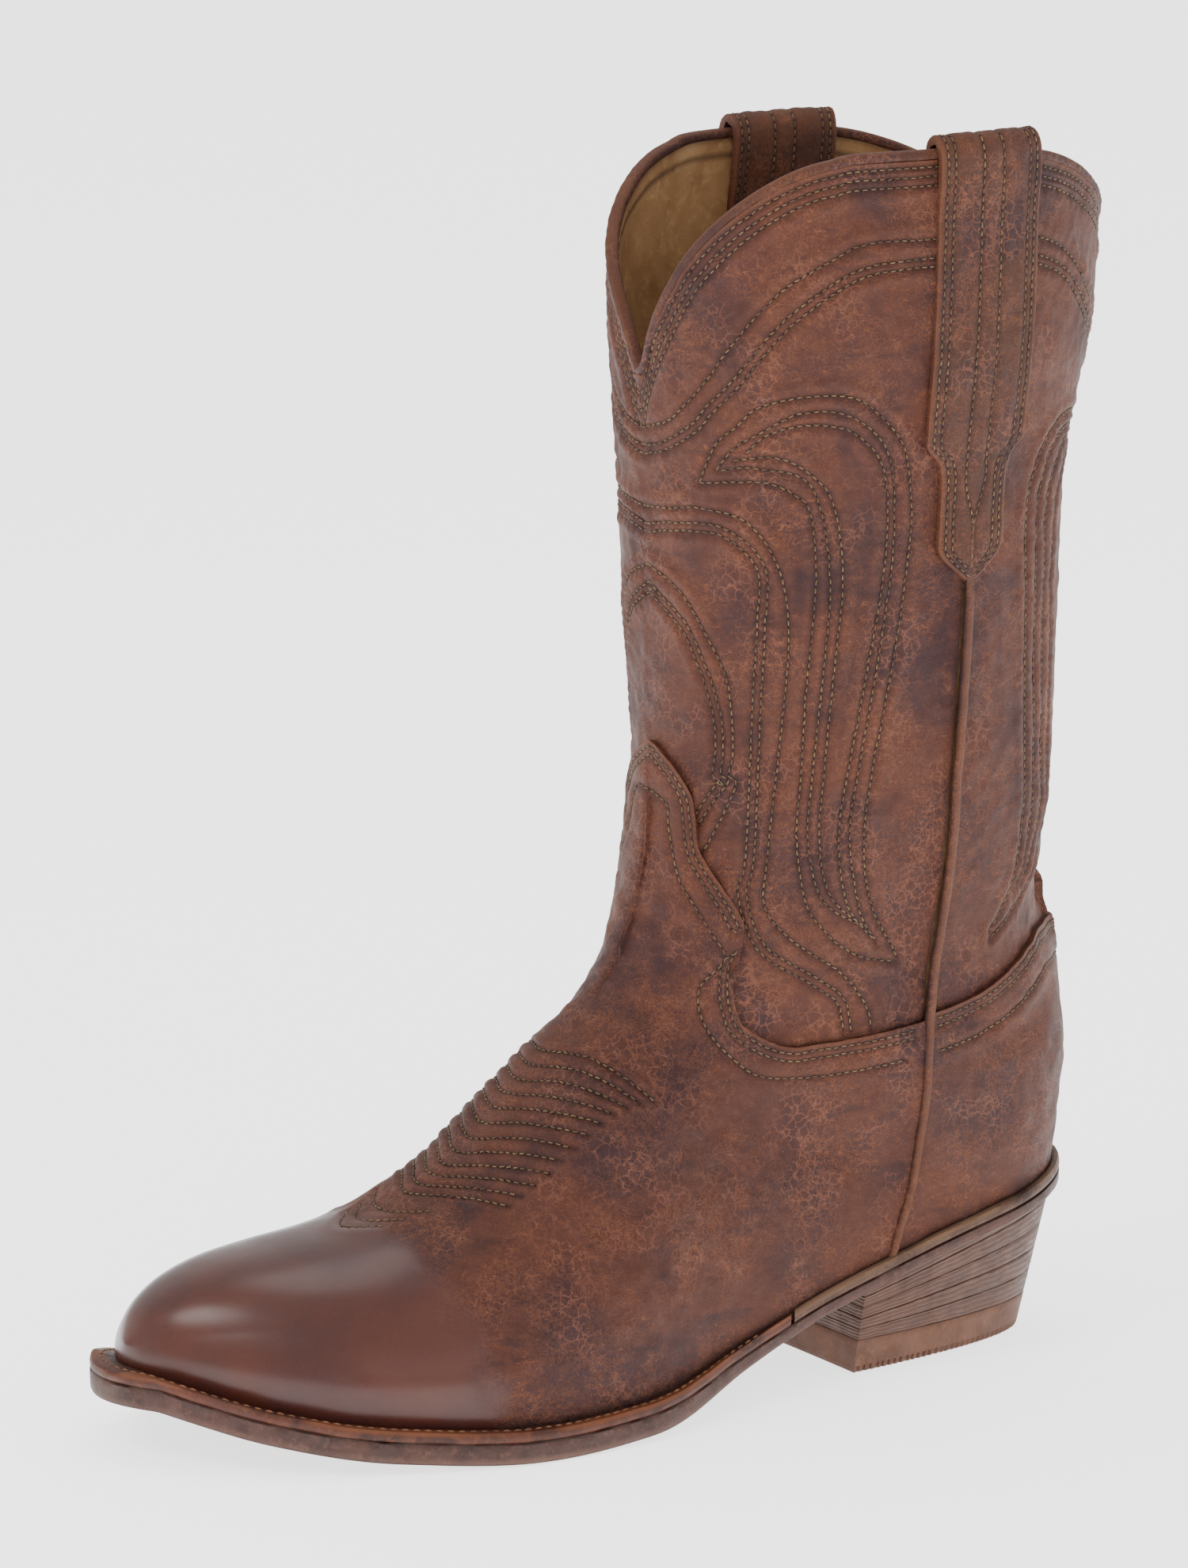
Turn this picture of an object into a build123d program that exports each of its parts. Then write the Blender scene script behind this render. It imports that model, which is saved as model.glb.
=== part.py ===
from build123d import *
import os
import numpy as np

# Left Western boot: welted upper, stacked heel, 12 inch shaft. Millimetres.
# Working coordinates: t runs forward from the heel seat, l runs to the outer side, z up.
# Part coordinates: x = l + SHIFT_X, y = SHIFT_Y - t, z, so the toe points to -Y.

# ------------------------------------------------------------ driving sizes
FOOT = 287.0            # length of the lasted upper, heel seat to toe
SHIFT_X = 4.18          # puts the origin under the middle of the whole boot
SHIFT_Y = 143.17
LEATHER = 1.6           # outer leather
LINING = 1.0
STIFFENER = 1.35
PLY_GAP = 0.15          # glue line between plies
SEAM_HALF = 1.5         # half of the slot that the side piping fills
LOW_EDGE = -5.0         # a level below the lowest row
WELT = 3.0
INSOLE = 3.0
SOCK = 1.1
INSOLE_INSET = 4.8      # insole edge inside the outer leather
TOP_LIFT = 10.0
LIFTS = 5
HEEL_HEIGHT = 60.0      # height up to which the heel block is lofted before trimming
SHAFT_LOW = 88.0        # lower edge of the shaft panels, under vamp and counter
SHAFT_TOP = 352.0
BINDING_DEEP = 2.5
BINDING_PROUD = 0.7
STRAP = 1.9
STRAP_HALF = 17.0
INNER_DROP = 5.0        # the inner side of the collar stands this much lower

# Each list is (position, value); smooth() runs a curve through it.
# Along the foot (t):
FEATHER_Z = [(0, 51.5), (40, 43), (80, 32), (120, 20), (160, 10.8), (192, 9.2), (235, 11.8),
             (265, 17.3), (287, 24.5)]
SOLE_T = [(0, 3.4), (75, 3.4), (110, 3.8), (160, 6.2), (287, 6.2)]
SWING = [(0, 0), (80, 0), (150, -2), (200, -7), (245, -16), (287, -23)]
OUTER_HALF = [(0, 29), (50, 31), (90, 31), (125, 36.5), (165, 47.5), (200, 51), (233, 46),
              (262, 37), (287, 27)]
INNER_HALF = [(0, 29), (50, 30), (90, 28), (125, 30), (165, 39), (205, 46), (238, 43), (262, 36),
              (287, 27)]
RIDGE_Z = [(0, 100), (100, 118), (130, 117), (145, 112.5), (158, 103.5), (174, 88.5), (196, 70),
           (222, 57.5), (243, 53.5), (258, 51), (268, 48), (276, 44), (282, 39), (287, 30)]
RIDGE_L = [(0, 0), (130, -1), (200, -7), (245, -15), (287, -22)]
MARGIN = [(0, 2.6), (60, 2.2), (110, 1.8), (150, 4), (200, 5), (260, 6), (287, 7)]
HEEL_ROUND = 34.0
TOE_ROUND = 48.0
# Up the shaft (z):
SHAFT_BACK = [(30, 1), (52, 2), (75, 6), (100, 11), (130, 9), (165, 4), (205, 4), (250, 3),
              (300, -5.5), (352, -10)]
SHAFT_FRONT = [(30, 60), (52, 75), (90, 111), (120, 127.5), (145, 129.8), (170, 130), (215, 132.5),
               (260, 134), (300, 136), (352, 138)]
SHAFT_HALF = [(30, 27), (52, 30), (75, 32), (100, 34), (130, 38), (160, 42), (200, 46),
              (250, 49.5), (300, 53), (352, 51.5)]
SEAM_T = [(30, 72), (43, 68.5), (57, 64.5), (105, 63), (155, 60), (228, 60), (352, 56)]
# Outlines cut into the plies: (sideways distance or t, z)
COLLAR_FRONT = [(0, 286), (5.5, 300), (12, 311), (18.7, 320.7), (24, 327), (30, 333.5), (36, 339.5),
                (41, 344), (45, 346.5), (50, 348), (75, 348)]
COLLAR_FRONT_INNER = [(0, 286), (6, 297), (14, 307), (22, 315), (30, 322.5), (38, 331), (44, 337.5),
                      (48, 341), (52, 343), (75, 343)]
COLLAR_BACK = [(0, 313), (8, 315), (20, 322), (30, 329), (38, 335.5), (44, 341), (49, 345.5),
               (53, 348), (75, 348)]
COLLAR_BACK_INNER = [(0, 313), (8, 314.5), (20, 319.5), (30, 326), (38, 332), (44, 337), (49, 341),
                     (53, 343), (75, 343)]
TONGUE = [(0, 184), (6, 180.5), (11, 176.5), (14.8, 171), (16.2, 163), (17, 156), (19.5, 151),
          (26, 136), (25.4, 129), (25.2, 118), (25.8, 111), (27, 105), (29.5, 101.5), (34, 100)]
VAMP_EDGE = [(150, 99.5), (112, 99.5), (101, 99.6), (80, 101), (62, 103), (50, 104.5)]
COUNTER_EDGE = [(75, 101.5), (60, 103), (48, 105.4), (36, 109.6), (24, 115), (12, 120), (-4, 122)]
STRAP_TAIL = [(17.5, 276), (17.5, 267.5), (12, 262), (11, 256), (11, 239), (0, 228)]
COLLARS = {"front": (COLLAR_FRONT, COLLAR_FRONT_INNER), "back": (COLLAR_BACK, COLLAR_BACK_INNER)}
# Strap path over the collar: (offset from the shaft leather, z)
STRAP_PATH = [(0.15, 226), (0.15, 240), (0.15, 255), (0.15, 270), (0.15, 285), (0.15, 300),
              (0.15, 315), (0.15, 326), (0.45, 334), (0.9, 340), (1.05, 344), (0.95, 347),
              (0.1, 349.3), (-1.4, 350.1), (-3.0, 349.5), (-4.1, 347.4), (-4.4, 344), (-4.2, 338),
              (-3.6, 331), (-3.15, 324), (-3.05, 315), (-3.05, 305), (-3.05, 296), (-3.05, 288)]


def smooth(points):
    """Curve through (position, value) points that never overshoots between them."""
    x = np.array([p[0] for p in points], float)
    y = np.array([p[1] for p in points], float)
    h = np.diff(x)
    d = np.diff(y) / h
    m = np.concatenate([[d[0]], np.zeros(len(x) - 2), [d[-1]]])
    for i in range(1, len(x) - 1):
        if d[i - 1] * d[i] > 0:
            w1 = 2 * h[i] + h[i - 1]
            w2 = h[i] + 2 * h[i - 1]
            m[i] = (w1 + w2) / (w1 / d[i - 1] + w2 / d[i])

    def value(q):
        q = np.clip(q, x[0], x[-1])
        i = np.clip(np.searchsorted(x, q, side="right") - 1, 0, len(h) - 1)
        s = (q - x[i]) / h[i]
        rise = s * s * (3 - 2 * s)
        return ((1 - rise) * y[i] + rise * y[i + 1]
                + s * (1 - s) ** 2 * h[i] * m[i] + s * s * (s - 1) * h[i] * m[i + 1])

    return value


def step(x):
    """0 below 0, 1 above 1, smooth between."""
    x = np.clip(x, 0, 1)
    return x * x * (3 - 2 * x)


feather_z = smooth(FEATHER_Z)
sole_t = smooth(SOLE_T)
swing = smooth(SWING)
outer_half = smooth(OUTER_HALF)
inner_half = smooth(INNER_HALF)
ridge_z = smooth(RIDGE_Z)
ridge_l = smooth(RIDGE_L)
margin = smooth(MARGIN)
shaft_back_t = smooth(SHAFT_BACK)
shaft_front_t = smooth(SHAFT_FRONT)
shaft_half = smooth(SHAFT_HALF)
seam_t = smooth(SEAM_T)


def place(p):
    """Working coordinates (t, l, z) to part coordinates."""
    p = np.asarray(p, float)
    return np.stack([p[..., 1] + SHIFT_X, SHIFT_Y - p[..., 0], p[..., 2]], -1)


def vectors(points):
    return [Vector(*map(float, p)) for p in points]


# ------------------------------------------------------------ outer surface of the upper
def feather(t):
    """Outer and inner side of the foot's plan outline at t."""
    heel = np.sqrt(np.clip(1 - (np.clip(HEEL_ROUND - t, 0, None) / HEEL_ROUND) ** 2, 0, 1))
    ahead = np.clip((t - (FOOT - TOE_ROUND)) / TOE_ROUND, 0, 1)
    toe = np.sqrt(np.clip(1 - ahead ** 2.3, 0, 1))
    width = heel * toe * ((t >= 0) & (t <= FOOT))
    return swing(t) + outer_half(t) * width, swing(t) - inner_half(t) * width


def level_z(h, t):
    """Height of level h at t: the feather edge at h = 0, horizontal from h = 130 up."""
    return h + feather_z(t) * np.clip(1 - h / 130, 0, 1) ** 2


def outside(t, l, z, h):
    """Below 0 inside the foot-and-shaft body, above 0 outside: a foot blended into a shaft."""
    outer, inner = feather(t)
    r = np.clip(ridge_l(t), inner, outer)
    half = np.maximum(np.where(l >= r, outer - r, r - inner), 1e-3)
    low = feather_z(t)
    tall = np.maximum(ridge_z(t) - low, 1e-3)
    q = np.clip((z - low) / tall, -0.2, 5)
    bulge = 1 + 0.05 * np.sin(np.pi * np.clip(1.6 * q, 0, 1))
    rho = ((np.abs(l - r) / (half * bulge)) ** 2.2 + np.clip(q, 0, None) ** 2.2) ** (1 / 2.2)
    foot = (rho - 1) * np.minimum(np.maximum(half, 8), np.maximum(tall, 8))
    beyond = np.maximum(-t, t - FOOT)
    foot = np.where(beyond < 0, foot, np.maximum(foot, 0) + np.maximum(beyond, 0) + 0.5)
    depth = (shaft_front_t(z) - shaft_back_t(z)) / 2
    middle = (shaft_front_t(z) + shaft_back_t(z)) / 2
    oval = ((np.abs(t - middle) / depth) ** 2.15 + (np.abs(l) / shaft_half(z)) ** 2.15)
    shaft = (oval ** (1 / 2.15) - 1) * np.minimum(depth, shaft_half(z))
    k = 2 + 20 * np.clip((h - 10) / 70, 0, 1)
    u = np.clip(0.5 + 0.5 * (shaft - foot) / k, 0, 1)
    return shaft * (1 - u) + foot * u - k * u * (1 - u)


RING = 360
ray_start = smooth([(0, 120), (30, 110), (60, 95), (100, 75), (150, 68), (352, 64)])


def ring(h, count=RING):
    """Closed outline of the upper at level h, from the toe over the outer side to the heel."""
    angle = np.linspace(0, 2 * np.pi, count, endpoint=False)
    squeeze = 0.35 + 0.65 * np.clip((h - 60) / 60, 0, 1)
    angle = np.arctan2(np.sin(angle) * squeeze, np.cos(angle))
    ahead, aside = np.cos(angle), np.sin(angle)
    start = float(ray_start(h))
    bend = np.clip(1 - h / 60, 0, 1)

    def probe(reach):
        t = start + ahead * reach
        return t, aside * reach + swing(t) * bend

    near, far = np.full(count, 2.0), np.full(count, 230.0)
    found = np.zeros(count, bool)
    for reach in np.linspace(2, 230, 116):
        t, l = probe(reach)
        hit = ~found & (outside(t, l, level_z(h, t), h) > 0)
        far[hit] = reach
        near[~found & ~hit] = reach
        found |= hit
    for _ in range(26):
        middle = (near + far) / 2
        t, l = probe(middle)
        out = outside(t, l, level_z(h, t), h) > 0
        far = np.where(out, middle, far)
        near = np.where(out, near, middle)
    t, l = probe(near)
    return np.stack([t, l, level_z(h, t)], 1)


def crossing(path):
    """Index, with fraction, where a toe-to-heel path crosses the side seam."""
    ahead = path[:, 0] - seam_t(path[:, 2])
    i = int(np.argmax(ahead < 0))
    return i - 1 + ahead[i - 1] / (ahead[i - 1] - ahead[i])


def stretch(path, columns, gap):
    """Even points along a path, gap mm in from each end."""
    reach = np.concatenate([[0], np.cumsum(np.linalg.norm(np.diff(path, axis=0), axis=1))])
    at = np.linspace(gap, reach[-1] - gap, columns)
    return np.stack([np.interp(at, reach, path[:, k]) for k in range(3)], 1)


def cut_path(path, start, end):
    """Part of a path between two fractional indices."""
    index = np.arange(len(path))
    inner = index[(index > start + 1e-6) & (index < end - 1e-6)]
    at = np.concatenate([[start], inner, [end]])
    return np.stack([np.interp(at, index, path[:, k]) for k in range(3)], 1)


def halves(loop):
    """Front and back part of a ring, split at the side seams."""
    outer_side = loop[: RING // 2 + 1]
    inner_side = np.concatenate([loop[RING // 2:], loop[:1]])[::-1]
    a, b = crossing(outer_side), crossing(inner_side)
    front = np.concatenate([cut_path(inner_side, 0, b)[::-1], cut_path(outer_side, 0, a)[1:]])
    back = np.concatenate([cut_path(outer_side, a, RING // 2),
                           cut_path(inner_side, b, RING // 2)[::-1][1:]])
    return front, back


def choose_levels():
    """Levels spaced so that rows are about even over the instep and up the shaft."""
    fine = np.arange(3.0, SHAFT_TOP + 0.1, 1.0)
    tips = np.array([ring(h, 4)[0] for h in fine])
    picked = [fine[0]]
    last = 0
    for i in range(1, len(fine)):
        reach = 7.0 if fine[i] < 130 else 14.0
        if np.linalg.norm(tips[i] - tips[last]) >= reach or fine[i] in (SHAFT_LOW, SHAFT_TOP):
            picked.append(fine[i])
            last = i
    return picked


def build_rows():
    """Every row of the outer surface as (level, closed loop), from the outsole up."""
    return [(h, ring(h)) for h in [-WELT + 0.1, -1.0, 1.0] + choose_levels()]


ROWS = build_rows()
COLUMNS = {"front": 71, "back": 33}


def grid(side, low, high, gap=SEAM_HALF):
    """Points of one half of the outer surface between two levels, with their normals."""
    which = 0 if side == "front" else 1
    picked = []
    levels = []
    for level, loop in ROWS:
        picked.append(stretch(halves(loop)[which], COLUMNS[side], gap))
        levels.append(level)
    points = np.array(picked)
    normal = np.cross(np.gradient(points, axis=1), np.gradient(points, axis=0))
    normal /= np.linalg.norm(normal, axis=2)[..., None]
    middle = np.array([70.0, 0.0, 200.0])
    if np.sum(normal[-1] * (points[-1] - middle)) < 0:
        normal = -normal
    keep = [i for i, level in enumerate(levels) if low <= level <= high]
    return points[keep], normal[keep]


# ------------------------------------------------------------ solids from point grids
def match(edge, edges):
    return min(edges, key=lambda e: (e @ 0.5 - edge @ 0.5).length)


def sheet(outer, inner):
    """Closed solid between two grids of points with the same rows and columns."""
    top, low = (Face.make_surface_from_array_of_points([vectors(r) for r in place(points)],
                                                       tol=0.05, min_deg=3)
                for points in (outer, inner))
    walls = [Face.make_surface_from_curves(e, match(e, low.edges())) for e in top.edges()]
    solid = Solid(Shell([top, low, *walls]))
    return solid if solid.volume > 0 else Solid(solid.wrapped.Reversed())


def ply(side, low, high, out, inn, gap=SEAM_HALF):
    """A ply of leather: offsets out and inn are functions of the surface points."""
    points, normal = grid(side, low, high, gap)
    outer = points + normal * out(points)[..., None]
    inner = points + normal * inn(points)[..., None]
    return sheet(outer, inner)


def lap(p):
    """How far vamp and counter lie out over the shaft panels."""
    return (LEATHER + PLY_GAP) * step((p[..., 2] - 66) / 20)


def lining_face(p):
    """Outer face of the foot lining: deeper where the toe puff or heel stiffener lies."""
    t, z = p[..., 0], p[..., 2]
    height = z - feather_z(t)
    toe = step((t - 212) / 14)
    heel = (1 - step((t - 58) / 16)) * (1 - step((height - 30) / 14))
    return -(LEATHER + PLY_GAP) - (STIFFENER + PLY_GAP) * np.maximum(toe, heel)


def level_face(offset):
    return lambda p: np.full(p.shape[:-1], float(offset))


# ------------------------------------------------------------ cutting regions
def prism(points, axis, reach):
    """Closed outline of (horizontal, z) points, extruded both ways along X or Y."""
    plane = Plane.YZ if axis == "x" else Plane.XZ
    face = Face(Wire.make_polygon([plane.from_local_coords((a, b, 0)) for a, b in points]))
    solid = extrude(face, amount=reach, dir=plane.z_dir, both=True)
    return solid.solid()


def offset_line(points, distance):
    """The same open line moved sideways, to the right of its direction."""
    p = np.array(points, float)
    along = np.gradient(p, axis=0)
    along /= np.linalg.norm(along, axis=1)[:, None]
    return p + distance * np.stack([along[:, 1], -along[:, 0]], 1)


def fine_line(points, count=40):
    """Smooth line of many points through a few, by distance along them."""
    p = np.array(points, float)
    reach = np.concatenate([[0], np.cumsum(np.linalg.norm(np.diff(p, axis=0), axis=1))])
    at = np.linspace(0, reach[-1], count)
    return np.stack([smooth(list(zip(reach, p[:, k])))(at) for k in range(2)], 1)


def collar_line(points, drop):
    """Half of the collar line, from just beside the middle outwards, moved down by drop."""
    line = fine_line(points)
    line = offset_line(line, drop) if drop else line
    return [(float(a), float(b)) for a, b in line if a > 1e-6]


def below_collar(half, drop, floor):
    """Everything under the collar line moved down by drop, as a prism along Y."""
    right = collar_line(COLLARS[half][0], drop)
    left = collar_line(COLLARS[half][1], drop)[::-1]
    (a1, z1), (a2, z2) = right[0], right[1]
    middle_z = z1 - a1 * (z2 - z1) / (a2 - a1)
    outline = [(SHIFT_X - a, b) for a, b in left] + [(SHIFT_X, middle_z)]
    outline += [(SHIFT_X + a, b) for a, b in right]
    outline += [(90, right[-1][1]), (90, floor), (-90, floor), (-90, left[0][1])]
    return prism(outline, "y", 200)


def vamp_region():
    """Where the vamp lies: below its side edge, and under the tongue at the front."""
    side = [(SHIFT_Y - t, z) for t, z in fine_line(VAMP_EDGE, 30)]
    side += [(SHIFT_Y - 40, -20), (SHIFT_Y - 330, -20), (SHIFT_Y - 330, VAMP_EDGE[0][1])]
    below = prism(side, "x", 120)
    right = [(a, b) for a, b in fine_line(TONGUE, 60)]
    right += [(34, 80)]
    outline = [(SHIFT_X + a, b) for a, b in right] + [(SHIFT_X - a, b) for a, b in right[1:][::-1]]
    return below + prism(outline, "y", 200)


def counter_region():
    line = [(SHIFT_Y - t, z) for t, z in fine_line(COUNTER_EDGE, 30)]
    line += [(SHIFT_Y + 40, COUNTER_EDGE[-1][1]), (SHIFT_Y + 40, -20), (SHIFT_Y - 90, -20),
             (SHIFT_Y - 90, COUNTER_EDGE[0][1])]
    return prism(line, "x", 120)


# ------------------------------------------------------------ layers under the foot
def side_layer(low, high, start=-20.0, end=320.0):
    """Slab between two heights given along t, as wide as the boot."""
    t = np.linspace(start, end, 48)
    lower = vectors([(0, SHIFT_Y - a, float(low(a))) for a in t])
    upper = vectors([(0, SHIFT_Y - a, float(high(a))) for a in t])
    edges = [Edge.make_spline(lower), Edge.make_line(lower[-1], upper[-1]),
             Edge.make_spline(upper[::-1]), Edge.make_line(upper[0], lower[0])]
    return extrude(Face(Wire(edges)), amount=120, dir=(1, 0, 0), both=True).solid()


def plan_points(inset):
    """Plan outline of the sole, moved in by inset(t) from the feather edge."""
    first = FOOT * (1 - np.cos(np.linspace(0, np.pi, 46))) / 2
    outer, inner = feather(first)
    loop = np.concatenate([np.stack([first, outer], 1), np.stack([first, inner], 1)[::-1][1:-1]])
    along = np.roll(loop, -1, 0) - np.roll(loop, 1, 0)
    along /= np.linalg.norm(along, axis=1)[:, None]
    inward = np.stack([along[:, 1], -along[:, 0]], 1)
    return loop + inward * inset(loop[:, 0])[:, None]


def plan_column(inset, low=-10.0, high=90.0):
    points = plan_points(inset)
    line = vectors([(l + SHIFT_X, SHIFT_Y - t, low) for t, l in points])
    face = Face(Wire([Edge.make_spline(line, periodic=True)]))
    return extrude(face, amount=high - low, dir=(0, 0, 1)).solid()


def sole_top(t):
    return feather_z(t) - WELT


def sole_bottom(t):
    return np.maximum(feather_z(t) - WELT - sole_t(t), 0.0)


def block(t0, t1, z0=-20.0, z1=120.0, half=90.0):
    """Box between two distances along the foot."""
    size = (2 * half, t1 - t0, z1 - z0)
    return Pos(SHIFT_X, SHIFT_Y - (t0 + t1) / 2, (z0 + z1) / 2) * Box(*size)


def heel_wire(z, rear, breast, half):
    """D-shaped outline of the heel at height z: round behind, straight breast in front."""
    s = np.linspace(-1, 1, 25)
    run = 1 - np.abs(s) ** 2.6
    t = breast - (breast - rear) * np.where(np.abs(s) == 1, 0, run) ** (1 / 2.0)
    l = half * s * (1 - 0.10 * (breast - t) / (breast - rear))
    points = vectors([(a + SHIFT_X, SHIFT_Y - b, z) for a, b in zip(l, t)])
    return Wire([Edge.make_spline(points), Edge.make_line(points[-1], points[0])])


def heel_block():
    """Underslung heel: it narrows and moves forward towards the floor."""
    return Solid.make_loft([heel_wire(0, 8.5, 79, 24), heel_wire(HEEL_HEIGHT, -6.5, 76, 34.3)],
                           ruled=True)


def pins(places, low, high, radius):
    """Upright pins at (t, l), each from low(t) to high(t)."""
    made = []
    for t, l in places:
        a, b = float(low(t)), float(high(t))
        made.append(Pos(l + SHIFT_X, SHIFT_Y - t, (a + b) / 2) * Cylinder(radius, b - a))
    return Compound(made)


def drilled(solid, tools):
    for tool in tools.solids():
        solid = solid - tool
    return solid.solid()


# ------------------------------------------------------------ pieces
def stitches():
    """Lock stitches that lie on the welt, from waist to waist around the toe."""
    loop = plan_points(lambda t: -0.5 * margin(t))
    n = len(loop)
    start = int(np.argmax(loop[:, 0] > 118))
    path = loop[start: n - start + 1]
    path = path[path[:, 0] > 118]
    reach = np.concatenate([[0], np.cumsum(np.linalg.norm(np.diff(path, axis=0), axis=1))])
    made = []
    for at in np.arange(3.0, reach[-1] - 3.0, 4.4):
        ends = []
        for s in (at - 1.5, at + 1.5):
            t, l = (np.interp(s, reach, path[:, k]) for k in range(2))
            ends.append(place((t, l, float(feather_z(t)) + 0.5)))
        a, b = (Vector(*map(float, e)) for e in ends)
        made.append(Plane(origin=(a + b) * 0.5, z_dir=b - a) * Cylinder(0.42, (b - a).length))
    return Compound(made)


def shaft_point(t, z, side):
    """Point and outward normal of the shaft leather at t and z on one side."""
    def half(tt, zz):
        depth = (shaft_front_t(zz) - shaft_back_t(zz)) / 2
        middle = (shaft_front_t(zz) + shaft_back_t(zz)) / 2
        return shaft_half(zz) * (1 - np.abs((tt - middle) / depth) ** 2.15) ** (1 / 2.15)

    z = np.minimum(z, SHAFT_TOP)
    l = half(t, z)
    lean_t = (half(t + 0.5, z) - half(t - 0.5, z)) / 1.0
    lean_z = (half(t, z) - half(t, z - 1.0)) / 1.0
    normal = np.stack([-lean_t, np.ones_like(l), -lean_z], -1)
    normal /= np.linalg.norm(normal, axis=-1)[..., None]
    return l, normal * np.array([1, side, 1]), side


def strap(side):
    """Pull strap: outer tail with a pointed tip, over the collar, short inner tail."""
    path = np.array(STRAP_PATH, float)
    along = np.gradient(path, axis=0)
    along /= np.linalg.norm(along, axis=1)[:, None]
    away = np.stack([along[:, 1], -along[:, 0]], 1)
    grids = []
    for thick in (0.0, STRAP):
        rows = []
        for w, z in path + thick * away - [0, INNER_DROP if side < 0 else 0]:
            t = seam_t(min(z, 340.0)) + np.linspace(-STRAP_HALF, STRAP_HALF, 13)
            l, normal, _ = shaft_point(t, np.full_like(t, z), side)
            base = np.stack([t, side * l, np.full_like(t, z)], -1)
            rows.append(base + normal * np.array([1, 1, 0]) * w)
        grids.append(np.array(rows))
    band = sheet(grids[1], grids[0])
    middle = float(seam_t(250))
    tail = [(SHIFT_Y - middle - a, z) for a, z in STRAP_TAIL]
    tail += [(SHIFT_Y - middle + a, z) for a, z in STRAP_TAIL[:-1][::-1]]
    tail += [(SHIFT_Y - middle + 40, 276), (SHIFT_Y - middle + 40, 400),
             (SHIFT_Y - middle - 40, 400), (SHIFT_Y - middle - 40, 276)]
    return (band & prism(tail, "x", 120)).solid()


def piping(side):
    """Bead in the side seam: proud below the strap, flush under it."""
    half = SEAM_HALF - 0.2
    across = np.array([-1, -0.8, -0.4, 0, 0.4, 0.8, 1]) * half
    outer, inner = [], []
    for level, loop in ROWS:
        if level < 3:
            continue
        path = loop[: RING // 2 + 1]
        if side < 0:
            path = np.concatenate([loop[RING // 2:], loop[:1]])[::-1]
        at = crossing(path)
        index = np.arange(len(path))
        p = np.array([np.interp(at, index, path[:, k]) for k in range(3)])
        ahead = np.array([np.interp(at - 2, index, path[:, k]) for k in range(3)])
        behind = np.array([np.interp(at + 2, index, path[:, k]) for k in range(3)])
        along = (ahead - behind) / np.linalg.norm(ahead - behind)
        out = np.array([-along[1], along[0], 0.0]) * side
        out /= np.linalg.norm(out) * np.sign(out[1] * side)
        proud = 1.2 * (1 - step((p[2] - 216) / 10))
        height = lap(p) + proud * np.sqrt(1 - (across / half * 0.98) ** 2)
        outer.append(p + across[:, None] * along + height[:, None] * out)
        inner.append(p + across[:, None] * along - LEATHER * out)
    return sheet(np.array(outer), np.array(inner))


def build_upper():
    under = below_collar("front", BINDING_DEEP + PLY_GAP, 0)
    under_back = below_collar("back", BINDING_DEEP + PLY_GAP, 0)
    flush, inside = level_face(0.0), level_face(-LEATHER)
    parts = {}
    within = lambda p: lap(p) - LEATHER
    parts["vamp"] = ply("front", LOW_EDGE, 230, lap, within) & vamp_region()
    parts["counter_cover"] = ply("back", LOW_EDGE, 135, lap, within) & counter_region()
    parts["shaft_front"] = ply("front", SHAFT_LOW, 400, flush, inside) & under
    parts["shaft_back"] = ply("back", SHAFT_LOW, 400, flush, inside) & under_back
    face = -LEATHER - PLY_GAP
    outer, inner = level_face(face), level_face(face - LINING)
    parts["shaft_lining_front"] = ply("front", SHAFT_LOW, 400, outer, inner, 0.2) & under
    parts["shaft_lining_back"] = ply("back", SHAFT_LOW, 400, outer, inner, 0.2) & under_back
    rim = (level_face(BINDING_PROUD), level_face(face - LINING - 0.6))
    for half in COLLARS:
        band = ply(half, 255, 400, *rim, 0.1) & below_collar(half, 0, 0)
        parts["collar_binding_" + half] = band - below_collar(half, BINDING_DEEP, 0)
    return parts


def build_inside():
    """Foot linings, toe puff and heel stiffener."""
    deep = lambda p: lining_face(p) - LINING
    parts = {}
    parts["vamp_lining"] = ply("front", 3, SHAFT_LOW - 1, lining_face, deep, 0.2)
    parts["counter_lining"] = ply("back", 3, SHAFT_LOW - 1, lining_face, deep, 0.2)
    face = -LEATHER - PLY_GAP
    stiff = (level_face(face), level_face(face - STIFFENER))
    parts["toe_puff"] = ply("front", 3, SHAFT_LOW - 1, *stiff) & block(230, 300)
    parts["heel_stiffener"] = ply("back", 3, 29, *stiff, 4.0)
    return parts


def build_bottom():
    edge = lambda t: -margin(t)
    full = plan_column(edge)
    middle = plan_column(lambda t: np.full_like(t, 2.4))
    parts = {}
    parts["outsole"] = full & side_layer(sole_bottom, sole_top)
    ring_ = full & side_layer(sole_top, feather_z)
    ring_ = ring_ - plan_column(lambda t: np.full_like(t, -PLY_GAP))
    parts["welt"] = ring_ & block(105.2, 320)
    parts["heel_rand"] = ring_ & block(-30, 104.8)
    inset = plan_column(lambda t: np.full_like(t, INSOLE_INSET))
    insole_low = lambda t: feather_z(t) - WELT + LEATHER + 0.3
    insole_high = lambda t: insole_low(t) + INSOLE
    parts["insole"] = inset & side_layer(insole_low, insole_high)
    sock = plan_column(lambda t: np.full_like(t, INSOLE_INSET + 0.4))
    parts["sock_liner"] = sock & side_layer(insole_high, lambda t: insole_high(t) + SOCK)
    filler = middle & side_layer(sole_top, insole_low) & block(16, 270)
    low = lambda t: feather_z(t) - WELT + 0.2
    strip = side_layer(low, lambda t: low(t) + 1.3) & block(42, 150)
    spring = strip & (Pos(SHIFT_X - 1, 0, 40) * Box(15, 400, 120))
    room = side_layer(sole_top, insole_low) & block(41.8, 150.2)
    room = room & (Pos(SHIFT_X - 1, 0, 40) * Box(15.4, 400, 120))
    parts["shank"] = spring
    parts["cork_filler"] = filler - room
    return parts


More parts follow.
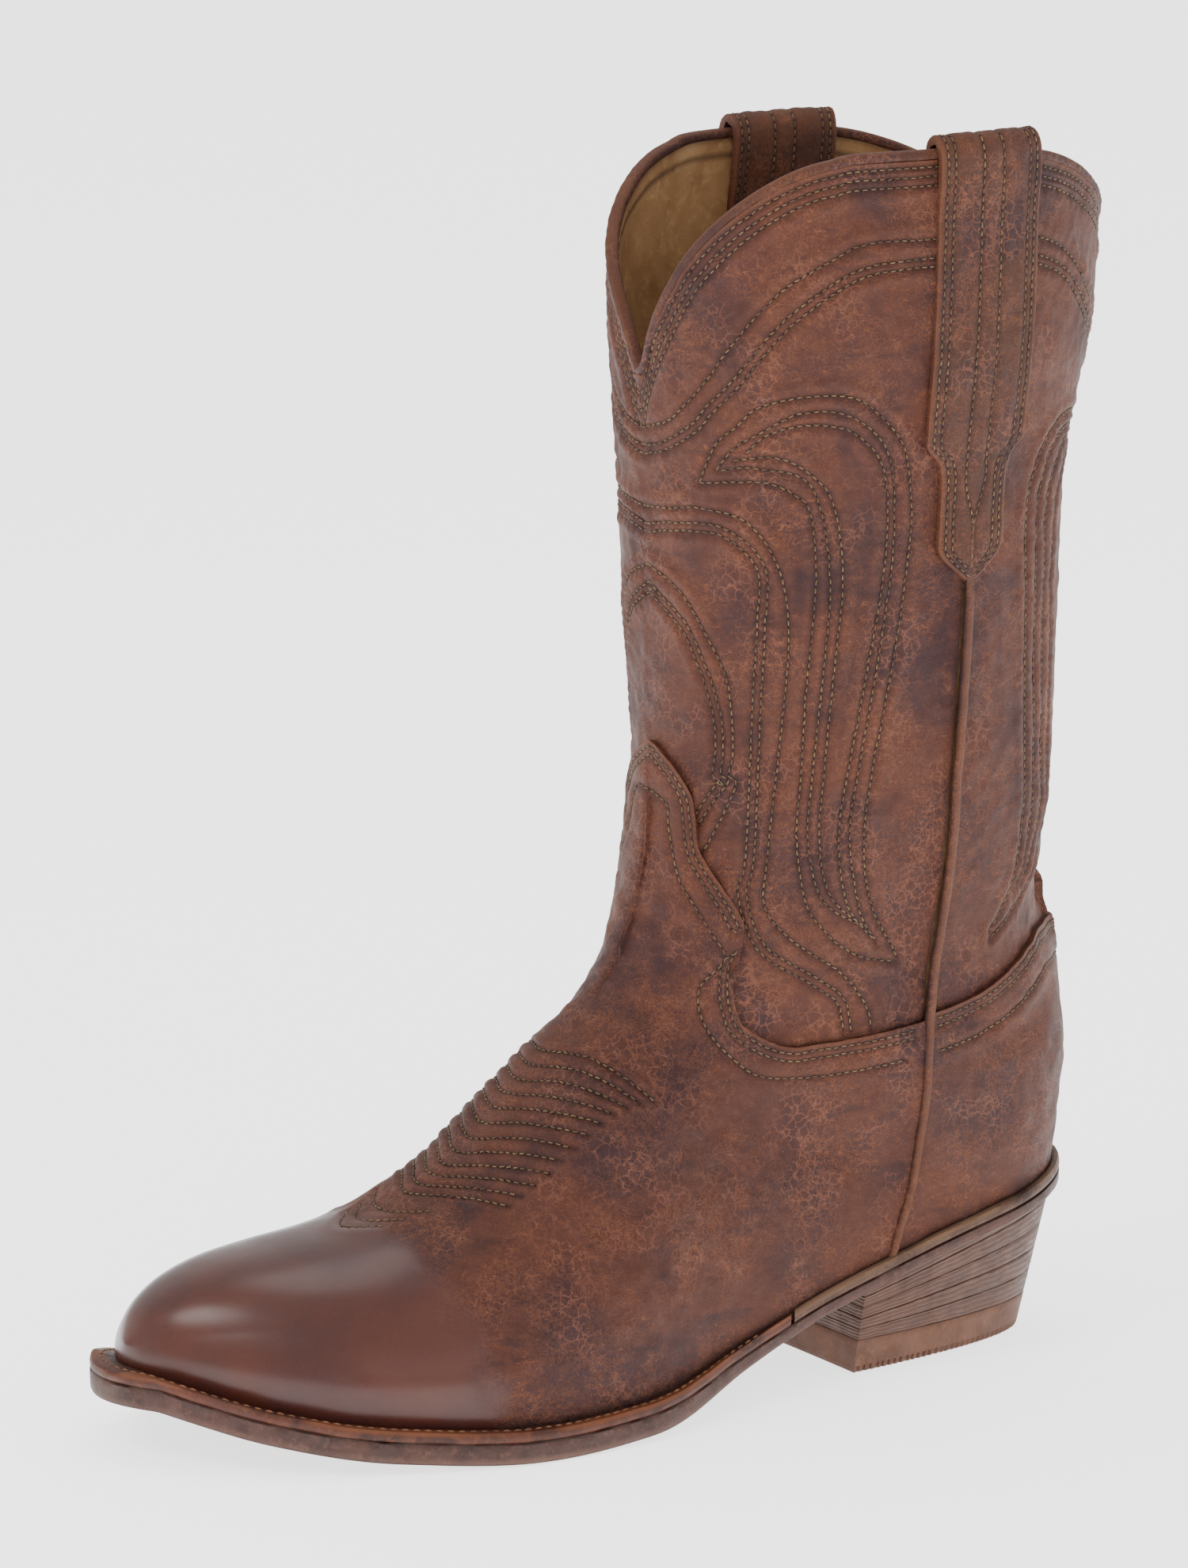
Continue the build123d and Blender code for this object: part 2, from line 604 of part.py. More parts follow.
def build_heel():
    body = heel_block()
    parts = {}
    parts["heel_top_lift"] = body & side_layer(lambda t: 0 * t, lambda t: TOP_LIFT + 0 * t)
    for k in range(LIFTS):
        share = [lambda t, s=s: TOP_LIFT + s * (sole_bottom(np.minimum(t, 100)) - TOP_LIFT)
                 for s in (k / LIFTS, (k + 1) / LIFTS)]
        parts["heel_lift_" + str(k + 1)] = body & side_layer(*share, end=100.0)
    return parts


def build_fasteners(parts):
    """Nails and pegs, with their holes in the layers that they hold."""
    insole_mid = lambda t: feather_z(t) - WELT + LEATHER + 0.3 + 0.6 * INSOLE
    seat = [(18, 0), (30, -11), (30, 11), (50, -11), (50, 11), (66, -11), (66, 11)]
    nails = pins(seat, lambda t: 13.0 + 0 * t, insole_mid, 1.1)
    brads = pins([(17, 0), (24, -12), (24, 12), (40, -17), (40, 17), (57, -18), (57, 18),
                  (71, -14), (71, 0), (71, 14)], lambda t: 0.8 + 0 * t, lambda t: 11.6 + 0 * t, 0.8)
    rows = [(t, side * 12.0 - 1) for side in (-1, 1) for t in np.arange(88, 131, 6)]
    pegs = pins(rows, lambda t: sole_bottom(t) + 0.4, insole_mid, 0.9)
    for name in ["insole", "cork_filler", "outsole"] + ["heel_lift_%d" % (k + 1)
                                                       for k in range(LIFTS)]:
        parts[name] = drilled(parts[name], nails)
    for name in ("heel_top_lift", "heel_lift_1"):
        parts[name] = drilled(parts[name], brads)
    for name in ("insole", "cork_filler", "outsole"):
        parts[name] = drilled(parts[name], pegs)
    parts["heel_nails"] = nails
    parts["top_lift_nails"] = brads
    parts["shank_pegs"] = pegs


def main():
    os.makedirs("parts", exist_ok=True)
    parts = build_upper()
    parts.update(build_inside())
    parts.update(build_bottom())
    parts.update(build_heel())
    build_fasteners(parts)
    parts["welt_stitching"] = stitches()
    under = below_collar("front", BINDING_DEEP + PLY_GAP, 0)
    for name, side in (("left", 1), ("right", -1)):
        parts["pull_strap_" + name] = strap(side)
        parts["side_welt_" + name] = piping(side) & under
    for name, shape in parts.items():
        export_step(shape, "parts/" + name + ".step")


main()
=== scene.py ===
import math
import bpy
import numpy as np
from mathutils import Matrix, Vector
from mathutils.bvhtree import BVHTree
from mathutils.kdtree import KDTree


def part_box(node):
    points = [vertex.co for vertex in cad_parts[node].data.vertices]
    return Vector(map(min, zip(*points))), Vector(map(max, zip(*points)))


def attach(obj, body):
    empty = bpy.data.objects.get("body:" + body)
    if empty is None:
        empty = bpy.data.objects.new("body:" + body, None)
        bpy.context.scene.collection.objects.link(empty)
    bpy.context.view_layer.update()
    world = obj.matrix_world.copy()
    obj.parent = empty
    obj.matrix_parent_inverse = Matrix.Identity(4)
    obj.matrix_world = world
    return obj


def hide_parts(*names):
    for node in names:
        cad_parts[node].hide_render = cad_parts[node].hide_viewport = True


# Left Western boot: looks built over the CAD solids. Lengths here are in mm unless named _m.
# Working coordinates: t forward from the heel seat, l to the outer side, z up.
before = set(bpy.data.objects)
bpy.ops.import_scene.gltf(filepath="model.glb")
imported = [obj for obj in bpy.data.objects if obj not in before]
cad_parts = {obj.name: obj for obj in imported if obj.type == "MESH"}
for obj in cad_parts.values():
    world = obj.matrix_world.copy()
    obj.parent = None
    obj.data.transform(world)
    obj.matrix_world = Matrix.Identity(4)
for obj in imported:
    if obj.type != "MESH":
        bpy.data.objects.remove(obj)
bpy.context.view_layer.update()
HEEL_BREAST = 79.0      # t of the front of the top lift
_low, _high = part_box("heel_top_lift")
SHIFT_X = 500.0 * (_low.x + _high.x)
SHIFT_Y = 1000.0 * _low.y + HEEL_BREAST

# ------------------------------------------------------------ sizes shared with the CAD
FOOT = 287.0
LEATHER = 1.6
LINING = 1.0
PLY_GAP = 0.15
SEAM_HALF = 1.0
WELT = 3.0
TOP_LIFT = 10.0
LIFTS = 5
HEEL_HEIGHT = 60.0
SHAFT_LOW = 88.0
SHAFT_TOP = 352.0
HEEL_ROUND = 34.0
TOE_ROUND = 48.0
FOOT_POWER = 2.2        # roundness of the foot's section
SHAFT_POWER = 2.15      # roundness of the shaft's section
STRAP = 1.9
STRAP_WIDE = 17.0       # half width of the pull strap
INNER_DROP = 5.0        # the inner strap lies this much lower

# ------------------------------------------------------------ sizes of the visible pieces
HAIR = 0.1              # each skin is this much thinner than its ply
HEM = -2.6              # level of the lower edge of vamp, counter and piping
COLLAR_LEVEL = 330.0    # where positions along the collar are measured
UNDER_BEAD = 2.6        # panels and linings end this far under the collar line
LINING_GAP = 0.2        # gap of the linings at the side seams
EDGE_ROWS = (1.7, 3.9)  # stitch rows along a cut edge
MIDDLE = [66.0, 0, 0]   # a point on the axis of the shaft
FEATHER_Z = [(0, 51.5), (40, 43), (80, 32), (120, 20), (160, 10.8), (192, 9.2), (235, 11.8),
             (265, 17.3), (287, 24.5)]
SOLE_T = [(0, 3.4), (75, 3.4), (110, 3.8), (160, 6.2), (287, 6.2)]
SWING = [(0, 0), (80, 0), (150, -2), (200, -7), (245, -16), (287, -23)]
OUTER_HALF = [(0, 29), (50, 31), (90, 31), (125, 36.5), (165, 47.5), (200, 51), (233, 46),
              (262, 37), (287, 27)]
INNER_HALF = [(0, 29), (50, 30), (90, 28), (125, 30), (165, 39), (205, 46), (238, 43), (262, 36),
              (287, 27)]
RIDGE_Z = [(0, 100), (100, 118), (130, 117), (145, 112.5), (158, 103.5), (174, 88.5), (196, 70),
           (222, 57.5), (243, 53.5), (258, 51), (268, 48), (276, 44), (282, 39), (287, 30)]
RIDGE_L = [(0, 0), (130, -1), (200, -7), (245, -15), (287, -22)]
MARGIN = [(0, 2.6), (60, 2.2), (110, 1.8), (150, 4), (200, 5), (260, 6), (287, 7)]
SHAFT_BACK = [(30, 1), (52, 2), (75, 6), (100, 11), (130, 9), (165, 4), (205, 4), (250, 3),
              (300, -5.5), (352, -10)]
SHAFT_FRONT = [(30, 60), (52, 75), (90, 111), (120, 127.5), (145, 129.8), (170, 130), (215, 132.5),
               (260, 134), (300, 136), (352, 138)]
SHAFT_HALF = [(30, 27), (52, 30), (75, 32), (100, 34), (130, 38), (160, 42), (200, 46),
              (250, 49.5), (300, 53), (352, 51.5)]
SEAM_T = [(30, 72), (43, 68.5), (57, 64.5), (105, 63), (155, 60), (228, 60), (352, 56)]
COLLAR = {
    "front": ([(0, 286), (5.5, 300), (12, 311), (18.7, 320.7), (24, 327), (30, 333.5), (36, 339.5),
               (41, 344), (45, 346.5), (50, 348), (75, 348)],
              [(0, 286), (6, 297), (14, 307), (22, 315), (30, 322.5), (38, 331), (44, 337.5),
               (48, 341), (52, 343), (75, 343)]),
    "back": ([(0, 313), (8, 315), (20, 322), (30, 329), (38, 335.5), (44, 341), (49, 345.5),
              (53, 348), (75, 348)],
             [(0, 313), (8, 314.5), (20, 319.5), (30, 326), (38, 332), (44, 337), (49, 341),
              (53, 343), (75, 343)])}
TONGUE = [(0, 184), (6, 180.5), (11, 176.5), (14.8, 171), (16.2, 163), (17, 156), (19.5, 151),
          (26, 136), (25.4, 129), (25.2, 118), (25.7, 111), (26.6, 106), (28, 102.6)]
VAMP_EDGE = [(107.5, 100.2), (98, 99.8), (80, 101), (63.6, 102.9)]
COUNTER_EDGE = [(60, 103), (48, 105.4), (36, 109.6), (24, 115), (15, 119)]
STRAP_PATH = [(0.15, 228), (0.15, 240), (0.15, 255), (0.15, 270), (0.15, 285), (0.15, 300),
              (0.15, 315), (0.15, 326), (0.45, 334), (0.9, 340), (1.05, 344), (0.95, 347),
              (0.1, 349.3), (-1.4, 350.1), (-3.0, 349.5), (-4.1, 347.4), (-4.4, 344), (-4.2, 338),
              (-3.6, 331), (-3.15, 324), (-3.05, 315), (-3.05, 305), (-3.05, 296), (-3.05, 288)]
STRAP_HALF = [(228, 0.6), (239, 11), (256, 11), (262, 12), (267.5, 16.8), (280, 17), (360, 17)]

# Stitch rows on the outer half of the front panel, (t, l, z); the inner half is mirrored.
FLAME_ROWS = {
    "top_single": [(134, 0, 271), (134, 11, 274), (132, 17, 279), (129, 23, 286), (126, 30, 296),
                   (116, 39, 311), (103, 46, 320), (93, 49, 324), (75, 52, 324), (58, 52, 324)],
    "top_double": [(134, 0, 266), (134, 9, 268), (131, 19, 274), (129, 23, 279), (125, 30, 287),
                   (115, 39, 303), (102, 46, 314), (92, 50, 318), (75, 52, 319), (58, 52, 319)],
    "hook_out": [(129, 20, 258), (127, 25, 269), (124, 30, 274), (119, 35, 280), (108, 43, 283),
                 (97, 48, 282), (89, 50, 276), (82, 50, 267), (79, 49, 252), (79, 49, 242),
                 (81, 47, 220), (84, 45, 198), (87, 42, 176), (88, 40, 157), (84, 38, 139),
                 (74, 37, 122)],
    "hook_in": [(129, 20, 258), (123, 29, 259), (117, 35, 259), (111, 39, 256), (107, 41, 251),
                (105, 41, 236), (105, 40, 222), (106, 38, 199), (106, 36, 177), (106, 34, 159),
                (103, 34, 141), (98, 35, 133), (92, 36, 127), (84, 36, 123), (74, 37, 121)],
    "leaf_a": [(127, 25, 262), (124, 29, 268), (120, 34, 272), (111, 41, 278), (100, 46, 278),
               (90, 49, 271), (85, 49, 260), (84, 48, 239), (87, 45, 209), (91, 41, 176),
               (92, 39, 158), (87, 37, 137), (81, 37, 127)],
    "leaf_b": [(122, 32, 267), (118, 36, 272), (109, 42, 275), (98, 47, 273), (89, 49, 264),
               (86, 48, 250), (87, 47, 229), (90, 44, 206), (94, 40, 175), (95, 38, 158),
               (91, 37, 139), (81, 37, 127)],
    "leaf_c": [(124, 29, 265), (115, 37, 266), (107, 42, 261), (101, 44, 252), (98, 44, 232),
               (99, 42, 210), (100, 38, 177), (100, 36, 158), (96, 36, 142), (85, 37, 132)],
    "leaf_d": [(126, 26, 262), (120, 33, 263), (109, 41, 260), (104, 43, 249), (101, 42, 229),
               (102, 40, 203), (103, 37, 177), (103, 35, 158), (98, 35, 141), (85, 37, 132)],
    "low_single": [(134, 0, 249), (132, 11, 250), (129, 20, 251), (121, 31, 248), (114, 36, 236),
                   (111, 37, 218), (111, 34, 192), (113, 30, 154), (113, 29, 140), (106, 32, 130),
                   (91, 35, 119), (83, 35, 109), (81, 35, 102)],
    "low_double": [(134, 0, 244), (132, 11, 246), (125, 26, 246), (117, 34, 236), (116, 33, 218),
                   (116, 31, 196), (116, 28, 154), (117, 26, 143), (113, 29, 129), (99, 33, 119),
                   (90, 34, 112), (87, 34, 102)],
    "core_single": [(134, 0, 233), (131, 13, 227), (127, 21, 215), (123, 25, 203), (121, 25, 184),
                    (122, 24, 177), (120, 25, 174), (124, 20, 160), (126, 17, 154)],
    "core_double": [(134, 0, 228), (131, 14, 219), (127, 20, 207), (124, 23, 194), (123, 23, 184),
                    (123, 22, 177), (122, 24, 175), (124, 20, 169), (126, 16, 162)]}
# Stitch rows on the outer half of the back panel.
BACK_ROWS = {
    "top_single": [(53, 52, 324), (39, 50, 322), (25, 45, 316), (12, 36, 303), (2, 22, 290),
                   (-3, 9, 284), (-4, 0, 283)],
    "top_double": [(53, 52, 319), (39, 50, 317), (25, 45, 311), (12, 36, 298), (2, 22, 285),
                   (-3, 9, 279), (-4, 0, 278)],
    "hook_out": [(4, 20, 262), (9, 27, 268), (17, 35, 270), (26, 41, 267), (33, 44, 258),
                 (36, 46, 244), (35, 44, 222), (33, 42, 198), (31, 38, 172), (30, 35, 150),
                 (33, 34, 134), (40, 35, 124)],
    "hook_in": [(4, 20, 262), (10, 28, 260), (16, 34, 254), (20, 36, 243), (21, 36, 224),
                (20, 33, 205), (19, 30, 182), (18, 27, 160), (20, 26, 142), (27, 29, 131),
                (40, 35, 122)],
    "leaf_a": [(9, 26, 264), (16, 33, 266), (24, 39, 263), (29, 42, 254), (31, 43, 242),
               (30, 41, 222), (29, 39, 200), (27, 35, 174), (26, 32, 150), (30, 33, 134)],
    "leaf_b": [(11, 28, 262), (18, 35, 261), (23, 38, 254), (26, 40, 243), (26, 38, 224),
               (25, 36, 202), (23, 32, 176), (22, 29, 152), (27, 31, 135)]}
# Rows of stitching across the vamp, outer half: (t, distance from the ridge line).
WRINKLE_ROWS = [[(165 + 3.75 * k, 0), (160 + 3.75 * k, 17 - 0.4 * k),
                 (149 + 3.85 * k, 31 - 0.3 * k)]
                for k in range(12)]
TOE_ROWS = [[(207, 14), (212, 7), (214, 0)], [(213, 11), (218, 5), (220, 0)],
            [(218, 9), (223, 4), (225, 0)]]


def smooth(points):
    """Curve through (position, value) points that never overshoots between them."""
    x = np.array([p[0] for p in points], float)
    y = np.array([p[1] for p in points], float)
    h = np.diff(x)
    d = np.diff(y) / h
    m = np.concatenate([[d[0]], np.zeros(len(x) - 2), [d[-1]]])
    for i in range(1, len(x) - 1):
        if d[i - 1] * d[i] > 0:
            w1 = 2 * h[i] + h[i - 1]
            w2 = h[i] + 2 * h[i - 1]
            m[i] = (w1 + w2) / (w1 / d[i - 1] + w2 / d[i])

    def value(q):
        q = np.clip(q, x[0], x[-1])
        i = np.clip(np.searchsorted(x, q, side="right") - 1, 0, len(h) - 1)
        s = (q - x[i]) / h[i]
        rise = s * s * (3 - 2 * s)
        return ((1 - rise) * y[i] + rise * y[i + 1]
                + s * (1 - s) ** 2 * h[i] * m[i] + s * s * (s - 1) * h[i] * m[i + 1])

    return value


def step(x):
    x = np.clip(x, 0, 1)
    return x * x * (3 - 2 * x)


feather_z = smooth(FEATHER_Z)
sole_t = smooth(SOLE_T)
swing = smooth(SWING)
outer_half = smooth(OUTER_HALF)
inner_half = smooth(INNER_HALF)
ridge_z = smooth(RIDGE_Z)
ridge_l = smooth(RIDGE_L)
margin = smooth(MARGIN)
shaft_back_t = smooth(SHAFT_BACK)
shaft_front_t = smooth(SHAFT_FRONT)
shaft_half = smooth(SHAFT_HALF)
seam_t = smooth(SEAM_T)


def bell(x, width):
    return np.exp(-(x / width) ** 2)


def place_m(p):
    """Working coordinates in mm to the row frame in metres."""
    p = np.asarray(p, float)
    return np.stack([p[..., 1] + SHIFT_X, SHIFT_Y - p[..., 0], p[..., 2]], -1) / 1000.0


def unit(v):
    return v / np.maximum(np.linalg.norm(v, axis=-1), 1e-9)[..., None]


def lengths(line):
    """Distance along a line at each of its points."""
    return np.concatenate([[0], np.cumsum(np.linalg.norm(np.diff(line, axis=0), axis=1))])


def sample(line, at, reach):
    """Points of a line at the places at, where reach is the place of each of its points."""
    return np.stack([np.interp(at, reach, column) for column in line.T], -1)


def even(line, count):
    reach = lengths(line)
    return sample(line, np.linspace(0, reach[-1], count), reach)


# ------------------------------------------------------------ outer surface of the upper
def feather(t):
    heel = np.sqrt(np.clip(1 - (np.clip(HEEL_ROUND - t, 0, None) / HEEL_ROUND) ** 2, 0, 1))
    ahead = np.clip((t - (FOOT - TOE_ROUND)) / TOE_ROUND, 0, 1)
    toe = np.sqrt(np.clip(1 - ahead ** 2.3, 0, 1))
    width = heel * toe * ((t >= 0) & (t <= FOOT))
    return swing(t) + outer_half(t) * width, swing(t) - inner_half(t) * width


def level_z(h, t):
    return h + feather_z(t) * np.clip(1 - h / 130, 0, 1) ** 2


def shaft_oval(z):
    """Half depth and middle of the shaft, front to back."""
    front, back = shaft_front_t(z), shaft_back_t(z)
    return (front - back) / 2, (front + back) / 2


def outside(t, l, z, h):
    """Below 0 inside the foot-and-shaft body, above 0 outside."""
    outer, inner = feather(t)
    r = np.clip(ridge_l(t), inner, outer)
    half = np.maximum(np.where(l >= r, outer - r, r - inner), 1e-3)
    low = feather_z(t)
    tall = np.maximum(ridge_z(t) - low, 1e-3)
    q = np.clip((z - low) / tall, -0.2, 5)
    bulge = 1 + 0.05 * np.sin(np.pi * np.clip(1.6 * q, 0, 1))
    rho = (np.abs(l - r) / (half * bulge)) ** FOOT_POWER + np.clip(q, 0, None) ** FOOT_POWER
    rho = rho ** (1 / FOOT_POWER)
    foot = (rho - 1) * np.minimum(np.maximum(half, 8), np.maximum(tall, 8))
    beyond = np.maximum(-t, t - FOOT)
    foot = np.where(beyond < 0, foot, np.maximum(foot, 0) + np.maximum(beyond, 0) + 0.5)
    depth, middle = shaft_oval(z)
    oval = (np.abs(t - middle) / depth) ** SHAFT_POWER + (np.abs(l) / shaft_half(z)) ** SHAFT_POWER
    shaft = (oval ** (1 / SHAFT_POWER) - 1) * np.minimum(depth, shaft_half(z))
    k = 2 + 20 * np.clip((h - 10) / 70, 0, 1)
    u = np.clip(0.5 + 0.5 * (shaft - foot) / k, 0, 1)
    return shaft * (1 - u) + foot * u - k * u * (1 - u)


RING = 720
ray_start = smooth([(0, 120), (30, 110), (60, 95), (100, 75), (150, 68), (352, 64)])


def ring(h):
    """Closed outline of the upper at level h, from the toe over the outer side to the heel."""
    angle = np.linspace(0, 2 * np.pi, RING, endpoint=False)
    squeeze = 0.35 + 0.65 * np.clip((h - 60) / 60, 0, 1)
    angle = np.arctan2(np.sin(angle) * squeeze, np.cos(angle))
    ahead, aside = np.cos(angle), np.sin(angle)
    start = float(ray_start(h))
    bend = np.clip(1 - h / 60, 0, 1)

    def probe(reach):
        t = start + ahead * reach
        return t, aside * reach + swing(t) * bend

    near, far = np.full(RING, 2.0), np.full(RING, 230.0)
    found = np.zeros(RING, bool)
    for reach in np.linspace(2, 230, 58):
        t, l = probe(reach)
        hit = ~found & (outside(t, l, level_z(h, t), h) > 0)
        far[hit] = reach
        near[~found & ~hit] = reach
        found |= hit
        if found.all():
            break
    for _ in range(15):
        middle = (near + far) / 2
        t, l = probe(middle)
        out = outside(t, l, level_z(h, t), h) > 0
        far = np.where(out, middle, far)
        near = np.where(out, near, middle)
    t, l = probe(near)
    return np.stack([t, l, level_z(h, t)], 1)


def crossing(path):
    """Index, with fraction, where a toe-to-heel path crosses the side seam."""
    ahead = path[:, 0] - seam_t(path[:, 2])
    i = int(np.argmax(ahead < 0))
    return i - 1 + ahead[i - 1] / (ahead[i - 1] - ahead[i])


def cut_path(path, start, end, columns):
    """Even points along a path between two fractional indices, and its length."""
    index = np.arange(len(path))
    inner = index[(index > start + 1e-6) & (index < end - 1e-6)]
    p = sample(path, np.concatenate([[start], inner, [end]]), index)
    return even(p, columns), lengths(p)[-1]


LEVELS = np.concatenate([[-2.9, -1, 1], np.arange(3, 130, 1.5), np.arange(130, 353, 6.0), [352.0]])
MESHED = {"front": 801, "back": 401}


def surfaces():
    """Point grids of the front and back half, by level, and the length of each row."""
    made = {"front": [], "back": []}
    spans = {"front": [], "back": []}
    half = RING // 2
    for h in LEVELS:
        loop = ring(h)
        outer = loop[: half + 1]
        inner = np.concatenate([loop[half:], loop[:1]])[::-1]
        a, b = crossing(outer), crossing(inner)
        front = np.concatenate([inner[::-1], outer[1:]])
        back = np.concatenate([outer, inner[::-1][1:]])
        for side, path, start, end in (("front", front, half - b, half + a),
                                       ("back", back, a, 2 * half - b)):
            p, n = cut_path(path, start, end, MESHED[side])
            made[side].append(p)
            spans[side].append(n)
    return {k: np.array(v) for k, v in made.items()}, {k: np.array(v) for k, v in spans.items()}


BASE, SPAN = surfaces()


def surface(side, a, h):
    """Points of one half at fractions a along it (0 to 1) and levels h."""
    grid = BASE[side]
    k = np.interp(h, LEVELS, np.arange(len(LEVELS)))
    k0 = np.clip(np.floor(k).astype(int), 0, len(LEVELS) - 2)
    s = (k - k0)[..., None]
    x = np.clip(a, 0, 1) * (grid.shape[1] - 1)
    j = np.clip(np.floor(x).astype(int), 0, grid.shape[1] - 2)
    f = (x - j)[..., None]
    rows = []
    for d in (-1, 0, 1, 2):
        i = np.clip(k0 + d, 0, len(LEVELS) - 1)
        rows.append(grid[i, j] * (1 - f) + grid[i, j + 1] * f)
    p0, p1, p2, p3 = rows
    return 0.5 * (2 * p1 + (p2 - p0) * s + (2 * p0 - 5 * p1 + 4 * p2 - p3) * s ** 2
                  + (3 * p1 - p0 - 3 * p2 + p3) * s ** 3)


def across(side, s, h, gap):
    """Fraction along the half that leaves gap mm free at both seams."""
    e = gap / np.interp(h, LEVELS, SPAN[side])
    return e + (1 - 2 * e) * s


def panel(side, low, top, rows, gap):
    """Grid of one half between level low and the levels top, its normals and its levels."""
    h = low + (top - low) * np.linspace(0, 1, rows)[:, None]
    base = surface(side, across(side, np.linspace(0, 1, len(top)), h, gap), h)
    return base, normals(base), h


def net(side, columns, h):
    """Points of a half on every level of h, from seam to seam."""
    a = np.linspace(0, 1, columns)
    return surface(side, np.repeat(a[None], len(h), 0), np.repeat(h[:, None], columns, 1))


def normals(points):
    n = unit(np.cross(np.gradient(points, axis=1), np.gradient(points, axis=0)))
    middle = points.reshape(-1, 3).mean(0) * [0, 0, 1] + MIDDLE
    row = points.shape[0] - 2
    facing = np.sum(n[row] * (points[row] - middle) * [1, 1, 0])
    return n if facing > 0 else -n


# ------------------------------------------------------------ small random fields
def field(p, size, seed, count=14):
    """Smooth random values around 0, with features about size mm wide."""
    rng = np.random.default_rng(seed)
    way = unit(rng.normal(size=(count, 3)))
    wave = way * (2 * np.pi / (size * rng.uniform(0.7, 1.6, count)))[:, None]
    phase = rng.uniform(0, 2 * np.pi, count)
    total = np.zeros(p.shape[:-1])
    for k in range(count):
        total += np.sin(p @ wave[k] + phase[k])
    return total / math.sqrt(count / 2)


HOLLOWS = [((118, 30, 92), (16, 22, 9), 0.9), ((132, 8, 118), (14, 20, 7), -0.9),
           ((96, 34, 84), (30, 20, 6), -0.6), ((20, 24, 128), (22, 30, 5), -0.7),
           ((18, 26, 140), (22, 30, 5), 0.5)]


def slack(p):
    """Shape of the worn leather: soft hollows and folds about the ankle and shaft."""
    z = p[..., 2]
    worn = step((z - 60) / 40) * (1 - 0.75 * step((z - 150) / 60))
    fold = p + 5 * np.stack([field(p, 60, 3), field(p, 55, 4), field(p, 45, 5)], -1)
    folds = np.sin(fold[..., 2] / 2.9 + 0.04 * fold[..., 0]) * step(field(p, 34, 6) - 0.1)
    total = 0.22 * worn * folds + 0.28 * field(p, 60, 7) * step((z - 40) / 60)
    for place, size, tall in HOLLOWS:
        d = (p - np.array(place, float)) / np.array(size, float)
        total = total + tall * np.exp(-np.sum(d * d, axis=-1))
    return total


def lap(p):
    """How far vamp and counter lie out over the shaft panels."""
    return (LEATHER + PLY_GAP) * step((p[..., 2] - 66) / 20)


# ------------------------------------------------------------ meshes
def make(name, points, faces, material, marks=None, node=(), slot=None, sharp=40):
    """A mesh piece that rides on the boot. marks are named values per point."""
    mesh = bpy.data.meshes.new(name)
    mesh.from_pydata(place_m(points).tolist(), [], faces)
    for key, values in (marks or {}).items():
        layer = mesh.attributes.new(key, "FLOAT", "POINT")
        layer.data.foreach_set("value", np.asarray(values, np.float32).ravel())
    mesh.materials.append(material)
    mesh.shade_smooth()
    mesh.set_sharp_from_angle(angle=math.radians(sharp))
    piece = bpy.data.objects.new(name, mesh)
    bpy.context.scene.collection.objects.link(piece)
    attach(piece, "root")
    if node:
        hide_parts(*node)
    return piece


def grid_faces(rows, columns, closed=False, start=0):
    i = np.arange(rows * columns).reshape(rows, columns) + start
    if closed:
        i = np.concatenate([i, i[:, :1]], 1)
    return np.stack([i[:-1, :-1], i[:-1, 1:], i[1:, 1:], i[1:, :-1]], -1).reshape(-1, 4)


def outward(points, faces):
    """The faces turned so that the closed mesh has a positive volume."""
    a, b, c, d = (points[faces[:, k]] for k in range(4))
    volume = np.sum(np.cross(b - a, c - a) * a) + np.sum(np.cross(c - a, d - a) * a)
    return faces if volume < 0 else faces[:, ::-1]      # place_m mirrors one axis


THIN = 4        # the hidden inner face has one point for this many of the outer face


def shell(name, outer, normal, thick, material, marks=None, **more):
    """Closed solid: a fine outer face, a coarse inner face, and walls between their rims."""
    rows, columns = outer.shape[:2]
    inner = (outer - normal * thick)[::THIN, ::THIN]
    n_rows, n_columns = inner.shape[:2]
    count = rows * columns
    points = np.concatenate([outer.reshape(-1, 3), inner.reshape(-1, 3)])
    top = grid_faces(rows, columns)
    low = grid_faces(n_rows, n_columns, start=count)[:, ::-1]
    i = np.arange(count).reshape(rows, columns)
    j = np.arange(n_rows * n_columns).reshape(n_rows, n_columns) + count
    walls = []
    rims = ((i[0], j[0]), (i[:, -1], j[:, -1]), (i[-1][::-1], j[-1][::-1]),
            (i[:, 0][::-1], j[:, 0][::-1]))
    for fine, coarse in rims:
        for k in range(len(coarse) - 1):
            edge = fine[k * THIN: (k + 1) * THIN + 1].tolist()
            walls.append(edge[::-1] + [int(coarse[k]), int(coarse[k + 1])])
    faces = top.tolist() + low.tolist() + walls
    triangle = points[top[:, 0]], points[top[:, 1]], points[top[:, 2]]
    facing = np.cross(triangle[1] - triangle[0], triangle[2] - triangle[0])
    if np.sum(facing * normal[:-1, :-1].reshape(-1, 3)) >= 0:     # place_m mirrors one axis
        faces = [f[::-1] for f in faces]
    full = {}
    for key, values in (marks or {}).items():
        full[key] = np.concatenate([values.ravel(), values[::THIN, ::THIN].ravel() * 0])
    return make(name, points, faces, material, full, **more)


def loft(name, rings, material, marks=None, **more):
    """Closed solid from a stack of closed rings with the same number of points."""
    rings = np.asarray(rings)
    rows, columns = rings.shape[:2]
    points = rings.reshape(-1, 3)
    faces = outward(points, grid_faces(rows, columns, closed=True)).tolist()
    first, last = list(range(columns)), list(range((rows - 1) * columns, rows * columns))
    ahead = faces[0][(faces[0].index(0) + 1) % 4] == 1
    faces += [first[::-1], last] if ahead else [first, last[::-1]]
    return make(name, points, faces, material, marks, **more)


def tree_of(points):
    tree = KDTree(len(points))
    for k, p in enumerate(points):
        tree.insert(p, k)
    tree.balance()
    return tree


